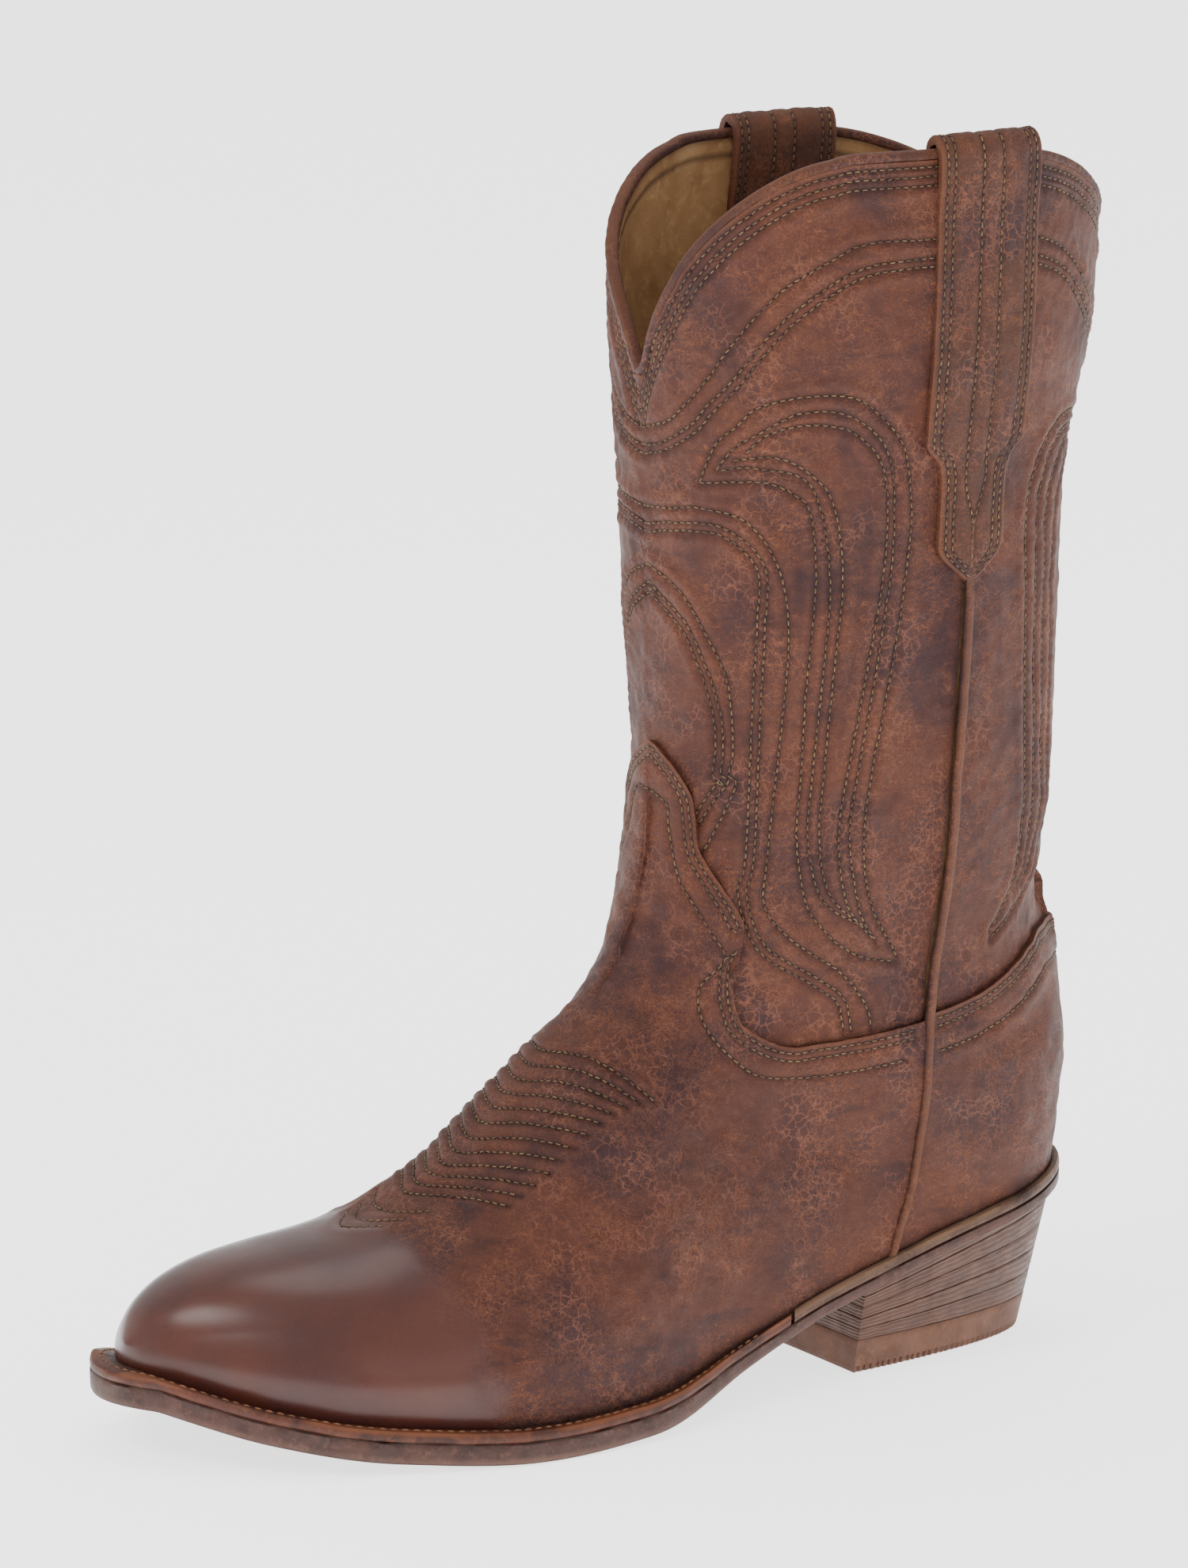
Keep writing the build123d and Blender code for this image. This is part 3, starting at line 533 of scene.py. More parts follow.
def far_from(tree, points):
    """Distance of every point from the nearest point of the tree, and that point's index."""
    found = [tree.find(p)[1:] for p in points.reshape(-1, 3)]
    index, distance = (np.array(v).reshape(points.shape[:-1]) for v in zip(*found))
    return distance, index


def skin(points):
    rows, columns = points.shape[:2]
    return BVHTree.FromPolygons(points.reshape(-1, 3).tolist(),
                                grid_faces(rows, columns).tolist())


def through(points, gap=0.5):
    """Even points, gap mm apart, on a smooth curve through a few points."""
    p = np.array(points, float)
    if len(p) == 2:
        dense = np.linspace(p[0], p[1], 40)
    else:
        ends = np.concatenate([[2 * p[0] - p[1]], p, [2 * p[-1] - p[-2]]])
        s = np.linspace(0, 1, 16, endpoint=False)[:, None]
        dense = []
        for a, b, c, d in zip(ends, ends[1:], ends[2:], ends[3:]):
            dense.append(0.5 * (2 * b + (c - a) * s + (2 * a - 5 * b + 4 * c - d) * s ** 2
                                + (3 * b - a - 3 * c + d) * s ** 3))
        dense = np.concatenate(dense + [p[-1:]])
    reach = lengths(dense)
    return sample(dense, np.arange(0, reach[-1], gap), reach)


def onto(tree, line, limit=9.0):
    """The points of a line moved to the nearest place on a surface, with normals."""
    p, n = [], []
    for q in line:
        at, facing, _, distance = tree.find_nearest(q)
        if at is not None and distance < limit:
            p.append(at)
            n.append(facing)
    p, n = np.array(p), np.array(n)
    out = np.sum(n * (p - MIDDLE) * [1, 1, 0], axis=1)
    return p, n * np.sign(np.where(np.abs(out) < 1e-9, 1, out))[:, None]


def beside(line, facing, distance):
    along = unit(np.gradient(line, axis=0))
    return line + np.cross(facing, along) * distance


def mirrored(line):
    return np.array(line) * [1, -1, 1]


def capsule():
    """Points and faces of one short stitch, along its first axis."""
    points = [(-1, 0, -0.55)]
    for x, r in ((-0.72, 0.75), (0, 1.0), (0.72, 0.75)):
        drop = -0.28 * abs(x)
        points += [(x, r * math.sin(a), r * math.cos(a) + drop)
                   for a in np.linspace(0, 2 * math.pi, 6, endpoint=False)]
    points.append((1, 0, -0.55))
    faces = [(0, 1 + (k + 1) % 6, 1 + k) for k in range(6)]
    for row in (0, 1):
        for k in range(6):
            a, b = 1 + 6 * row + k, 1 + 6 * row + (k + 1) % 6
            faces.append((a, b, b + 6, a + 6))
    faces += [(13 + k, 13 + (k + 1) % 6, 19) for k in range(6)]
    return np.array(points), faces


# Small diamond set on the surface between stitches; its near-black finish is painted shade of a
# needle hole.
HOLE = np.array([(1, 0, 0), (0, 1, 0), (-1, 0, 0), (0, -1, 0), (0, 0, 0.35), (0, 0, -0.6)])
HOLE_FACES = ([(k, (k + 1) % 4, 4) for k in range(4)]
              + [((k + 1) % 4, k, 5) for k in range(4)])


def stitching(name, rows, material, pitch=2.35, length=1.7, radius=0.26, lift=0.1, **more):
    """Rows of thread stitches, with small near-black solids between them as painted shade of the
    needle holes.
    rows holds (points, normals) pairs that lie on a surface."""
    shape, quads = capsule()
    points, faces, kind = [], [], []
    rng = np.random.default_rng(11)
    total = 0

    def add(solid, solid_faces, size, at, along, side, n, up, which):
        nonlocal total
        q = solid * size
        points.append(at + n * up + q[:, :1] * along + q[:, 1:2] * side + q[:, 2:] * n)
        faces.extend([total + v for v in f] for f in solid_faces)
        kind.extend([which] * len(solid_faces))
        total += len(solid)

    for line, facing in rows:
        if len(line) < 6:
            continue
        reach = lengths(line)
        for at in np.arange(0.8, reach[-1] - 0.8, pitch):
            p, a, b, hole = sample(line, np.array([0, -0.5, 0.5, pitch / 2]) + at, reach)
            n = unit(sample(facing, at, reach))
            along = unit(b - a + rng.normal(0, 0.03, 3))
            side = unit(np.cross(n, along))
            add(shape, quads, [length / 2, radius, radius], p, along, side, n, lift, 0)
            # the needle hole: a dark diamond on the surface, painted shade in place of a real hole
            add(HOLE, HOLE_FACES, [0.42, 0.36, 0.3], hole, along, side, n, 0.0, 1)
    piece = make(name, np.concatenate(points), faces, material, sharp=80, **more)
    # near-black finish of the diamonds: painted shade of the needle holes
    piece.data.materials.append(needle_hole_shade)
    piece.data.polygons.foreach_set("material_index", kind)
    return piece


# ------------------------------------------------------------ finishes
def srgb(text):
    values = [int(text[k:k + 2], 16) / 255 for k in (1, 3, 5)]
    return [v / 12.92 if v < 0.04045 else ((v + 0.055) / 1.055) ** 2.4 for v in values] + [1]


class Shader:
    """Small helper that adds nodes to one material. Lengths are in mm."""

    def __init__(self, name, rough=0.5):
        self.material = bpy.data.materials.new(name)
        self.material.use_nodes = True
        self.tree = self.material.node_tree
        self.body = self.tree.nodes["Principled BSDF"]
        self.body.inputs["Roughness"].default_value = rough
        coords = self.tree.nodes.new("ShaderNodeTexCoord")
        self.place = self.scaled(coords.outputs["Object"], (1000, 1000, 1000))
        self.height = None

    def put(self, socket, value):
        if isinstance(value, bpy.types.NodeSocket):
            self.tree.links.new(value, socket)
        else:
            socket.default_value = value

    def add(self, kind, **values):
        """A new node, with values or links for its inputs, named as the inputs are."""
        node = self.tree.nodes.new("ShaderNode" + kind)
        for key, value in values.items():
            self.put(node.inputs[key.replace("_", " ")], value)
        return node

    def scaled(self, vector, size):
        return self.add("Mapping", Vector=vector, Scale=size).outputs["Vector"]

    def noise(self, size, detail=4.0, rough=0.55, warp=0.0, stretch=None):
        vector = self.scaled(self.place, stretch) if stretch else self.place
        return self.add("TexNoise", Vector=vector, Scale=1.0 / size, Detail=detail,
                        Roughness=rough, Distortion=warp).outputs["Fac"]

    def warped(self, size, amount):
        """Place moved about by noise, so that cells lose their straight sides."""
        node = self.add("TexNoise", Vector=self.place, Scale=1.0 / size, Detail=3.0)
        mix = self.add("VectorMath")
        mix.operation = "MULTIPLY_ADD"
        for k, value in enumerate((node.outputs["Color"], (amount, amount, amount), self.place)):
            self.put(mix.inputs[k], value)
        return mix.outputs["Vector"]

    def cells(self, size, vector=None, feature="DISTANCE_TO_EDGE"):
        node = self.add("TexVoronoi", Scale=1.0 / size,
                        Vector=self.place if vector is None else vector)
        node.feature = feature
        return node.outputs["Distance"]

    def band(self, value, low, high, to_low=0.0, to_high=1.0):
        return self.add("MapRange", Value=value, From_Min=low, From_Max=high, To_Min=to_low,
                        To_Max=to_high).outputs["Result"]

    def math(self, kind, a, b=0.0):
        node = self.add("Math")
        node.operation = kind
        self.put(node.inputs[0], a)
        self.put(node.inputs[1], b)
        return node.outputs["Value"]

    def times(self, a, b):
        return self.math("MULTIPLY", a, b)

    def mark(self, name):
        node = self.add("Attribute")
        node.attribute_name = name
        return node.outputs["Fac"]

    def mix(self, factor, a, b):
        node = self.tree.nodes.new("ShaderNodeMix")
        node.data_type = "RGBA"
        self.put(node.inputs["Factor"], factor)
        for k, color in ((6, a), (7, b)):
            self.put(node.inputs[k], srgb(color) if isinstance(color, str) else color)
        return node.outputs[2]

    def bump(self, value, depth, strength=1.0):
        """Adds relief: depth is in mm for a value from 0 to 1."""
        node = self.add("Bump", Strength=strength, Distance=depth / 1000.0, Height=value)
        if self.height is not None:
            self.put(node.inputs["Normal"], self.height)
        self.height = node.outputs["Normal"]

    def done(self, color, rough=None):
        self.put(self.body.inputs["Base Color"], color)
        if rough is not None:
            self.put(self.body.inputs["Roughness"], rough)
        if self.height is not None:
            self.put(self.body.inputs["Normal"], self.height)
        return self.material


def upper_leather(name, base="#49271E", dark="#2E1B1F", pale="#583124", shine=0.0):
    """Waxed pull-up leather: dark patches, rusty crackle, worn folds, fine pores."""
    s = Shader(name)
    patches = s.band(s.noise(34, 4, 0.55, 0.6), 0.42, 0.60, 0, 0.85)
    color = s.mix(patches, base, dark)
    cloud = s.band(s.noise(9, 6, 0.7, 0.8), 0.50, 0.72, 0, 0.6)
    color = s.mix(cloud, color, pale)
    where = s.band(s.noise(20, 3, 0.6), 0.36, 0.58, 0.15, 1)
    lines = None
    for size, warp, stretch, width in ((6.0, 1.4, (0.8, 0.8, 1.6), 0.020),
                                       (3.0, 1.6, (1.4, 1.4, 0.8), 0.030),
                                       (1.6, 1.2, (1, 1, 1), 0.034)):
        value = s.noise(size, 3, 0.6, warp, stretch)
        edge = s.math("ABSOLUTE", s.math("SUBTRACT", value, 0.5))
        vein = s.band(edge, 0.0, width, 1, 0)
        lines = vein if lines is None else s.math("MAXIMUM", lines, s.times(vein, 0.8))
    color = s.mix(s.times(s.times(lines, where), 0.85), color, "#77472F")
    cells = s.band(s.cells(3.0, s.warped(2.0, 3.0)), 0.0, 0.08, 1, 0)
    spots = s.band(s.noise(17, 3, 0.5), 0.48, 0.62)
    color = s.mix(s.times(s.times(cells, spots), 0.7), color, "#7A4C3A")
    streak = s.band(s.noise(5, 4, 0.6, 0.2, (0.3, 0.3, 1.5)), 0.54, 0.72, 0, 0.4)
    color = s.mix(streak, color, "#24161A")
    color = s.mix(s.times(s.mark("wear"), 0.7), color, "#6A402B")
    color = s.mix(s.times(s.mark("seam"), 0.5), color, "#1E1212")
    glaze = s.mark("toe")
    if shine:
        toe_color = s.mix(s.band(s.noise(30, 3, 0.5, 0.3), 0.42, 0.62, 0, 0.7),
                          "#4A241A", "#381B1A")
        toe_color = s.mix(s.times(lines, 0.14), toe_color, "#613729")
        color = s.mix(glaze, color, toe_color)
    pores = s.cells(0.75, s.warped(1.0, 0.7), "F1")
    relief = s.math("SUBTRACT", 1.0, glaze)
    s.bump(s.times(pores, relief), 0.10, 0.5)
    s.bump(s.times(s.noise(2.2, 5, 0.65, 0.5), relief), 0.34, 0.6)
    s.bump(s.times(s.times(lines, -1.0), relief), 0.16, 0.6)
    s.bump(s.noise(5.0, 3, 0.5, 0.4), 0.10, 0.6)
    rough = s.band(s.noise(12, 4, 0.6), 0.3, 0.7, 0.50, 0.64)
    if shine:
        rough = s.math("SUBTRACT", rough, s.times(glaze, shine))
        s.put(s.body.inputs["Coat Weight"], s.times(glaze, 0.38))
        s.body.inputs["Coat Roughness"].default_value = 0.25
    s.body.inputs["Specular IOR Level"].default_value = 0.22
    return s.done(color, rough)


def plain_leather(name, base, dark, pale, rough=0.7, size=10.0, grain=0.25):
    """Lining, insole and edge leathers: soft blotches, fibres and small scuffs."""
    s = Shader(name, rough)
    color = s.mix(s.band(s.noise(size, 5, 0.6, 0.5), 0.38, 0.64), base, dark)
    color = s.mix(s.band(s.noise(size / 4, 6, 0.7, 0.4), 0.52, 0.74, 0, 0.7), color, pale)
    color = s.mix(s.times(s.mark("wear"), 0.7), color, pale)
    color = s.mix(s.times(s.mark("seam"), 0.75), color, "#2C1B14")
    s.bump(s.noise(0.8, 4, 0.7), grain, 0.6)
    s.bump(s.cells(0.5, None, "F1"), grain / 3, 0.5)
    s.body.inputs["Specular IOR Level"].default_value = 0.28
    return s.done(color, s.band(s.noise(size / 2, 3), 0.3, 0.7, rough - 0.08, rough + 0.1))


def stack_leather():
    """Heel stack: thin burnished layers that fan out towards the back."""
    s = Shader("heel_stack", 0.5)
    wobble = s.times(s.noise(6, 3, 0.5), 0.05)
    layer = s.math("ADD", s.mark("layer"), wobble)
    wave = s.math("SINE", s.times(layer, 2 * math.pi * 17))
    thin = s.math("SINE", s.times(layer, 2 * math.pi * 41))
    color = s.mix(s.band(s.noise(9, 4, 0.6, 0.5), 0.36, 0.66), "#56392C", "#412A22")
    color = s.mix(s.band(wave, 0.55, 1.0, 0, 0.7), color, "#311E19")
    color = s.mix(s.band(thin, 0.6, 1.0, 0, 0.5), color, "#6E4D3D")
    color = s.mix(s.band(s.noise(3, 5, 0.7, 0.3, (0.5, 0.5, 2.5)), 0.55, 0.75, 0, 0.5),
                  color, "#67483A")
    color = s.mix(s.times(s.mark("seam"), 0.8), color, "#2B1A14")
    s.bump(wave, 0.10, 0.5)
    s.bump(s.noise(0.9, 4, 0.6, 0, (1, 1, 3)), 0.12, 0.5)
    s.body.inputs["Specular IOR Level"].default_value = 0.25
    return s.done(color, s.band(s.noise(5, 3), 0.3, 0.7, 0.42, 0.58))


def thread(name, base, dark):
    s = Shader(name, 0.65)
    color = s.mix(s.band(s.noise(7, 3), 0.35, 0.65), base, dark)
    twist = s.math("SINE", s.times(s.noise(0.6, 2), 22.0))
    color = s.mix(s.band(twist, 0.2, 1, 0, 0.5), color, dark)
    s.bump(twist, 0.05, 0.6)
    return s.done(color)


def metal(name, base, dark):
    s = Shader(name, 0.35)
    s.body.inputs["Metallic"].default_value = 1.0
    color = s.mix(s.band(s.noise(3, 4), 0.4, 0.7), base, dark)
    s.bump(s.noise(0.6, 3, 0.6, 0, (4, 0.4, 1)), 0.03, 0.5)
    return s.done(color, s.band(s.noise(2, 3), 0.3, 0.7, 0.25, 0.5))


def grainy(name, base, dark, pale, size, stretch=(1, 1, 1)):
    """Cork or wood: speckled granules or drawn-out grain."""
    s = Shader(name, 0.75)
    color = s.mix(s.band(s.cells(size, s.scaled(s.place, stretch), "F1"), 0.1, 0.7), base, dark)
    color = s.mix(s.band(s.noise(size / 2, 4, 0.6, 0.3, stretch), 0.5, 0.7), color, pale)
    s.bump(s.noise(size / 3, 4, 0.7, 0, stretch), 0.2, 0.6)
    return s.done(color)


# ------------------------------------------------------------ the upper
def collar_level(side, a, drop):
    """Level of the collar line, drop mm below the edge, at fractions a along a half."""
    levels = np.linspace(270, 351, 160)
    l = surface(side, np.repeat(a[None], len(levels), 0),
                np.repeat(levels[:, None], len(a), 1))[..., 1]
    outlines = [through([(0, *p) for p in line], 0.5)[:, 1:] for line in COLLAR[side]]
    outer, inner = (np.interp(np.abs(l), o[:, 0], o[:, 1]) for o in outlines)
    blend = step(l / 4 + 0.5)
    over = levels[:, None] - (outer * blend + inner * (1 - blend))
    k = np.clip(np.argmax(over > 0, axis=0), 1, None)
    j = np.arange(len(a))
    f = over[k - 1, j] / (over[k - 1, j] - over[k, j])
    level = levels[k - 1] + f * (levels[k] - levels[k - 1])
    level = np.convolve(np.pad(level, 3, "edge"), np.ones(7) / 7, "valid")
    slope = np.gradient(level, a * np.interp(COLLAR_LEVEL, LEVELS, SPAN[side]))
    return level - drop * np.minimum(np.sqrt(1 + slope ** 2), 1.8)


def edge_round(shape, deep, rims=(0, 1, 2, 3)):
    """Lowering of a grid's rim, so that a cut edge looks worn: 0 is its first row, 1 its
    first column, 2 its last row and 3 its last column."""
    total = np.zeros(shape)
    for rim in rims:
        view = total.T if rim % 2 else total
        view = view[::-1] if rim > 1 else view
        view[0] = np.maximum(view[0], deep)
        view[1] = np.maximum(view[1], deep * 0.3)
    return total


def quilt(distance, deep=0.42, swell=0.5):
    """Sewing pulls the leather down along a row and leaves it swollen beside it."""
    return -deep * bell(distance, 0.85) + swell * bell(distance - 2.6, 1.7)


def sewing(rows):
    """Search tree over the points of all stitch rows."""
    return tree_of(np.concatenate([p for p, _ in rows]))


def sewn_piece(label, name, points, facing, thick, marks, rows, finish, sewn, **more):
    """One piece of leather, and the stitches of the rows that lie on it."""
    shell(name, points, facing, thick - HAIR, finish, marks, **more)
    tree = skin(points)
    stitching("stitching_" + label, [onto(tree, p) for p, _ in rows], sewn, slot="thread")


def under_collar(side, columns, gap):
    """Upper levels of a panel that ends under the collar binding."""
    s = np.linspace(0, 1, columns)
    return collar_level(side, across(side, s, COLLAR_LEVEL, gap), UNDER_BEAD)


def leg_rows(side, tree):
    """Every stitch row of one shaft panel, on both its halves."""
    made = []
    for name, points in (FLAME_ROWS if side == "front" else BACK_ROWS).items():
        for flip in (False, True):
            p, n = onto(tree, through(mirrored(points) if flip else points))
            made.append((p, n))
            if name.endswith("double"):
                made.append(onto(tree, beside(p, n, 2.3 if flip else -2.3)))
    s = np.linspace(0.012, 0.988, 500)
    for drop in (4.4, 7.0, 9.4):
        made.append(onto(tree, through(surface(side, s, collar_level(side, s, drop))[::6])))
    return made


def build_leg(side, finish, sewn):
    rows, columns = (345, 301) if side == "front" else (305, 281)
    base, normal, h = panel(side, SHAFT_LOW + 2.0, under_collar(side, columns, SEAM_HALF), rows,
                            SEAM_HALF)
    base = base + normal * slack(base)[..., None]
    sewn_rows = leg_rows(side, skin(base))
    near, index = far_from(sewing(sewn_rows), base)
    creased = 0.10 * np.sin(index * 0.9) * bell(near - 2.2, 1.3)
    relief = quilt(near) + creased + 0.10 * field(base, 7, 21) + 0.05 * field(base, 3.2, 22)
    relief = relief - edge_round(relief.shape, 0.3)
    points = base + normal * relief[..., None]
    wear = 0.25 * step(relief / 0.9) + 0.7 * step(1 - (h[-1] - h) / 1.6)
    sewn_piece(side, "leg_" + side, points, normals(points), LEATHER,
               {"wear": wear, "seam": bell(near, 0.7), "toe": wear * 0}, sewn_rows, finish, sewn,
               node=["shaft_" + side], slot="upper_leather")


def outline_levels(side, line):
    """Nearest (fraction, level) of a line of points on one half of the outer surface."""
    a = np.linspace(0, 1, 1201)
    h = np.linspace(60, 190, 391)
    points = net(side, len(a), h)
    coarse = points[::3, ::3]
    tree = tree_of(coarse.reshape(-1, 3))
    found = []
    for p in line:
        k = tree.find(p)[1]
        i, j = (max(3 * v - 4, 0) for v in divmod(k, coarse.shape[1]))
        block = points[i: 3 * (k // coarse.shape[1]) + 5, j: 3 * (k % coarse.shape[1]) + 5]
        d = np.linalg.norm(block - p, axis=-1)
        u, v = np.unravel_index(np.argmin(d), d.shape)
        found.append((a[j + v], h[i + u]))
    return np.array(found)


def vamp_outline():
    """Upper edge of the vamp from its inner side seam over the tongue to the outer one."""
    tree = skin(net("front", 801, np.linspace(90, 190, 301))[::2, ::2])
    line = [tree.ray_cast(Vector((t, 90, z)), Vector((0, -1, 0)))[0] for t, z in VAMP_EDGE[::-1]]
    line += [tree.ray_cast(Vector((220, l, z)), Vector((-1, 0, 0)))[0] for l, z in TONGUE[-2::-1]]
    line = through(line, 0.6)
    return np.concatenate([mirrored(line), line[::-1]])


def soften(values, times):
    for _ in range(times):
        values = np.concatenate([values[:1], (values[:-2] + 2 * values[1:-1] + values[2:]) / 4,
                                 values[-1:]])
    return values


def vamp_grid(rows, columns):
    """Grid of the vamp, from its hem to the outline over the tongue, and its normals."""
    found = outline_levels("front", vamp_outline())
    found = even(np.column_stack([found[:, 0] * 250, found[:, 1]]), columns) / [250, 1]
    found = soften(found, 1)
    edge = SEAM_HALF / SPAN["front"][0]
    low_a = np.linspace(edge, 1 - edge, columns)
    share = np.linspace(0, 1, rows)[:, None]
    share = 0.75 * share + 0.25 * share ** 1.6
    a = low_a + (np.clip(found[:, 0], 0.0, 1.0) - low_a) * share
    h = HEM + (found[:, 1] - HEM) * share
    gap = SEAM_HALF / np.interp(h, LEVELS, SPAN["front"])
    base = surface("front", np.clip(a, gap, 1 - gap), h)
    return base, normals(base)


def over_foot(tree, points):
    """Line on the upper face of the vamp through (t, distance from the ridge line) places."""
    down = Vector((0, 0, -1))
    hits = [tree.ray_cast(Vector((t, float(ridge_l(t)) + off, 250)), down)[0] for t, off in points]
    return through([p for p in hits if p is not None])


def rim_row(tree, rim, facing, inset):
    return onto(tree, through(beside(rim, facing, -inset)[4:-4:5]))


def rim_wear(shape):
    """The cut edge is worn to a rusty orange."""
    wear = np.zeros(shape)
    wear[-2:] = [[0.35], [0.9]]
    return wear


def build_vamp(finish, sewn):
    base, normal = vamp_grid(301, 441)
    base = base + normal * (lap(base) + slack(base))[..., None]
    tree = skin(base)
    rim, rim_n = base[-1], normal[-1]
    others = [rim_row(tree, rim, rim_n, inset) for inset in EDGE_ROWS]
    inner = beside(rim, rim_n, -9.5)
    inner = inner[np.abs(inner[:, 1]) > 4]
    others.append(onto(tree, through(inner[6:-6:14], 0.6)))
    wrinkles = [onto(tree, over_foot(tree, [(t, -o * 0.9) for t, o in half[::-1]] + half[1:]))
                for half in WRINKLE_ROWS]
    others += [onto(tree, over_foot(tree, half + [(t, -o) for t, o in half[-2::-1]]))
               for half in TOE_ROWS]
    near_wrinkle, _ = far_from(sewing(wrinkles), base)
    near_other, _ = far_from(sewing(others), base)
    relief = quilt(near_other, 0.3, 0.25)
    relief = relief - 0.5 * bell(near_wrinkle, 0.65) + 0.42 * bell(near_wrinkle - 1.9, 1.0)
    t, z = base[..., 0], base[..., 2]
    toe = step((t - 208 - 0.25 * (z - 40) + 1.5 * field(base, 14, 34)) / 12)
    crumple = 0.13 * field(base * [1, 0.4, 1], 7, 31) * (1 - toe) * step((t - 90) / 60)
    relief = relief + crumple + 0.06 * field(base, 4, 32) * (1 - toe)
    relief = relief - edge_round(relief.shape, 0.35, (2,))
    points = base + normal * relief[..., None]
    flex = 0.5 * bell(t - 200, 18) * step(0.4 - np.abs(field(base, 9, 33)) * 2)
    wear = 0.2 * step((relief - 0.25) / 0.5) + flex * (1 - toe) + rim_wear(relief.shape)
    seam = np.clip(bell(near_wrinkle, 0.7) + bell(near_other, 0.7), 0, 1)
    seam = seam + 0.8 * bell(z - feather_z(t), 2.5)
    rows = others[:3] + wrinkles + others[3:]
    sewn_piece("vamp", "upper_vamp", points, normals(points), LEATHER,
               {"wear": np.clip(wear, 0, 1), "seam": np.clip(seam, 0, 1), "toe": toe}, rows,
               finish, sewn, node=["vamp"], slot="upper_leather")


def counter_top(a):
    """Level of the counter's upper edge along the back half."""
    t = surface("back", a, np.full(len(a), 110.0))[:, 0]
    return soften(smooth(sorted((-t, z) for t, z in COUNTER_EDGE))(-t), 12)


def build_counter(finish, sewn):
    top = counter_top(across("back", np.linspace(0, 1, 281), 110.0, SEAM_HALF))
    base, normal, _ = panel("back", HEM, top, 141, SEAM_HALF)
    base = base + normal * (lap(base) + slack(base))[..., None]
    tree = skin(base)
    rows = [onto(tree, through(beside(base[-1], normal[-1], -inset)[3:-3:5]))
            for inset in (*EDGE_ROWS, 11.0)]
    near, _ = far_from(sewing(rows), base)
    relief = quilt(near, 0.3, 0.25) + 0.08 * field(base, 6, 41)
    relief = relief - edge_round(relief.shape, 0.35, (2,))
    points = base + normal * relief[..., None]
    seam = bell(near, 0.7) + 0.8 * bell(base[..., 2] - feather_z(base[..., 0]), 2.5)
    sewn_piece("counter", "upper_counter", points, normals(points), LEATHER,
               {"wear": rim_wear(near.shape), "seam": np.clip(seam, 0, 1), "toe": near * 0}, rows,
               finish, sewn, node=["counter_cover"], slot="upper_leather")


def build_heel_lining(finish):
    """Lining of the heel and quarters, inside the stiffener."""
    base, normal, h = panel("back", 3.0, np.full(121, SHAFT_LOW - 1.0), 61, LINING_GAP)
    high = base[..., 2] - feather_z(base[..., 0])
    depth = LEATHER + PLY_GAP + 1.5 * (1 - step((high - 30) / 14)) + LINING
    face = base - normal * depth[..., None]
    points = face - normal * (0.05 * field(face, 6, 55))[..., None]
    shell("heel_lining", points, -normal, LINING - HAIR, finish,
          {"wear": step(field(face, 20, 56)) * 0.6, "seam": bell(h[-1] - h, 1.2)},
          node=["counter_lining"], slot="lining_leather")


def build_lining(side, finish):
    base, normal, h = panel(side, SHAFT_LOW, under_collar(side, 161, LINING_GAP), 161, LINING_GAP)
    base = base + normal * slack(base)[..., None]
    face = base - normal * (LEATHER + PLY_GAP + LINING)
    relief = 0.08 * field(face, 9, 51) + 0.04 * field(face, 3, 52)
    down = h[-1] - h
    seam = np.clip(bell(down - 4.5, 0.6) + 0.8 * bell(down, 1.2), 0, 1)
    shell("leg_lining_" + side, face - normal * relief[..., None], -normal, LINING - 0.15, finish,
          {"wear": step(field(base, 30, 53)) * 0.7, "seam": seam},
          node=["shaft_lining_" + side], slot="lining_leather")


def around(count, wear, seam):
    """The same marks on each of count rings."""
    wear, seam = (np.repeat([v], count, 0) for v in (wear, seam))
    return {"wear": wear, "seam": seam, "toe": wear * 0}


def build_bead(side, finish):
    """Leather binding rolled over the collar edge."""
    count = 420
    a = np.linspace(0.001, 0.999, count)
    level = collar_level(side, a, 0.0)
    line = surface(side, a, level)
    lower = surface(side, a, level - 3.0)
    along = np.gradient(line, axis=0)
    normal = unit(np.cross(along, line - lower))
    normal = normal * np.sign(np.sum(normal * (line - MIDDLE) * [1, 1, 0], 1))[:, None]
    line = line + normal * slack(line)[:, None]
    up = unit(np.cross(normal, unit(np.gradient(line, axis=0))))
    up = up * np.where(up[..., 2:] < 0, -1, 1)
    thick = LEATHER + PLY_GAP + LINING + 0.5
    proud = 0.55
    angle = np.linspace(0, 2 * math.pi, 20, endpoint=False)
    c, d = np.cos(angle), np.sin(angle)
    rings = []
    for k in range(count):
        ripple = 1 + 0.03 * math.sin(k * 0.9) + 0.03 * math.sin(k * 0.37)
        wide = (proud - thick) / 2 + (proud + thick) / 2 * ripple * np.sign(c) * np.abs(c) ** 0.7
        tall = -1.4 + 1.5 * np.sign(d) * np.abs(d) ** 0.8
        rings.append(line[k] + wide[:, None] * normal[k] + tall[:, None] * up[k])
    marks = around(count, step((d - 0.1) / 0.8) * 0.6, bell(d + 1, 0.25))
    loft("collar_bead_" + side, rings, finish, marks, node=["collar_binding_" + side],
         slot="binding_leather")


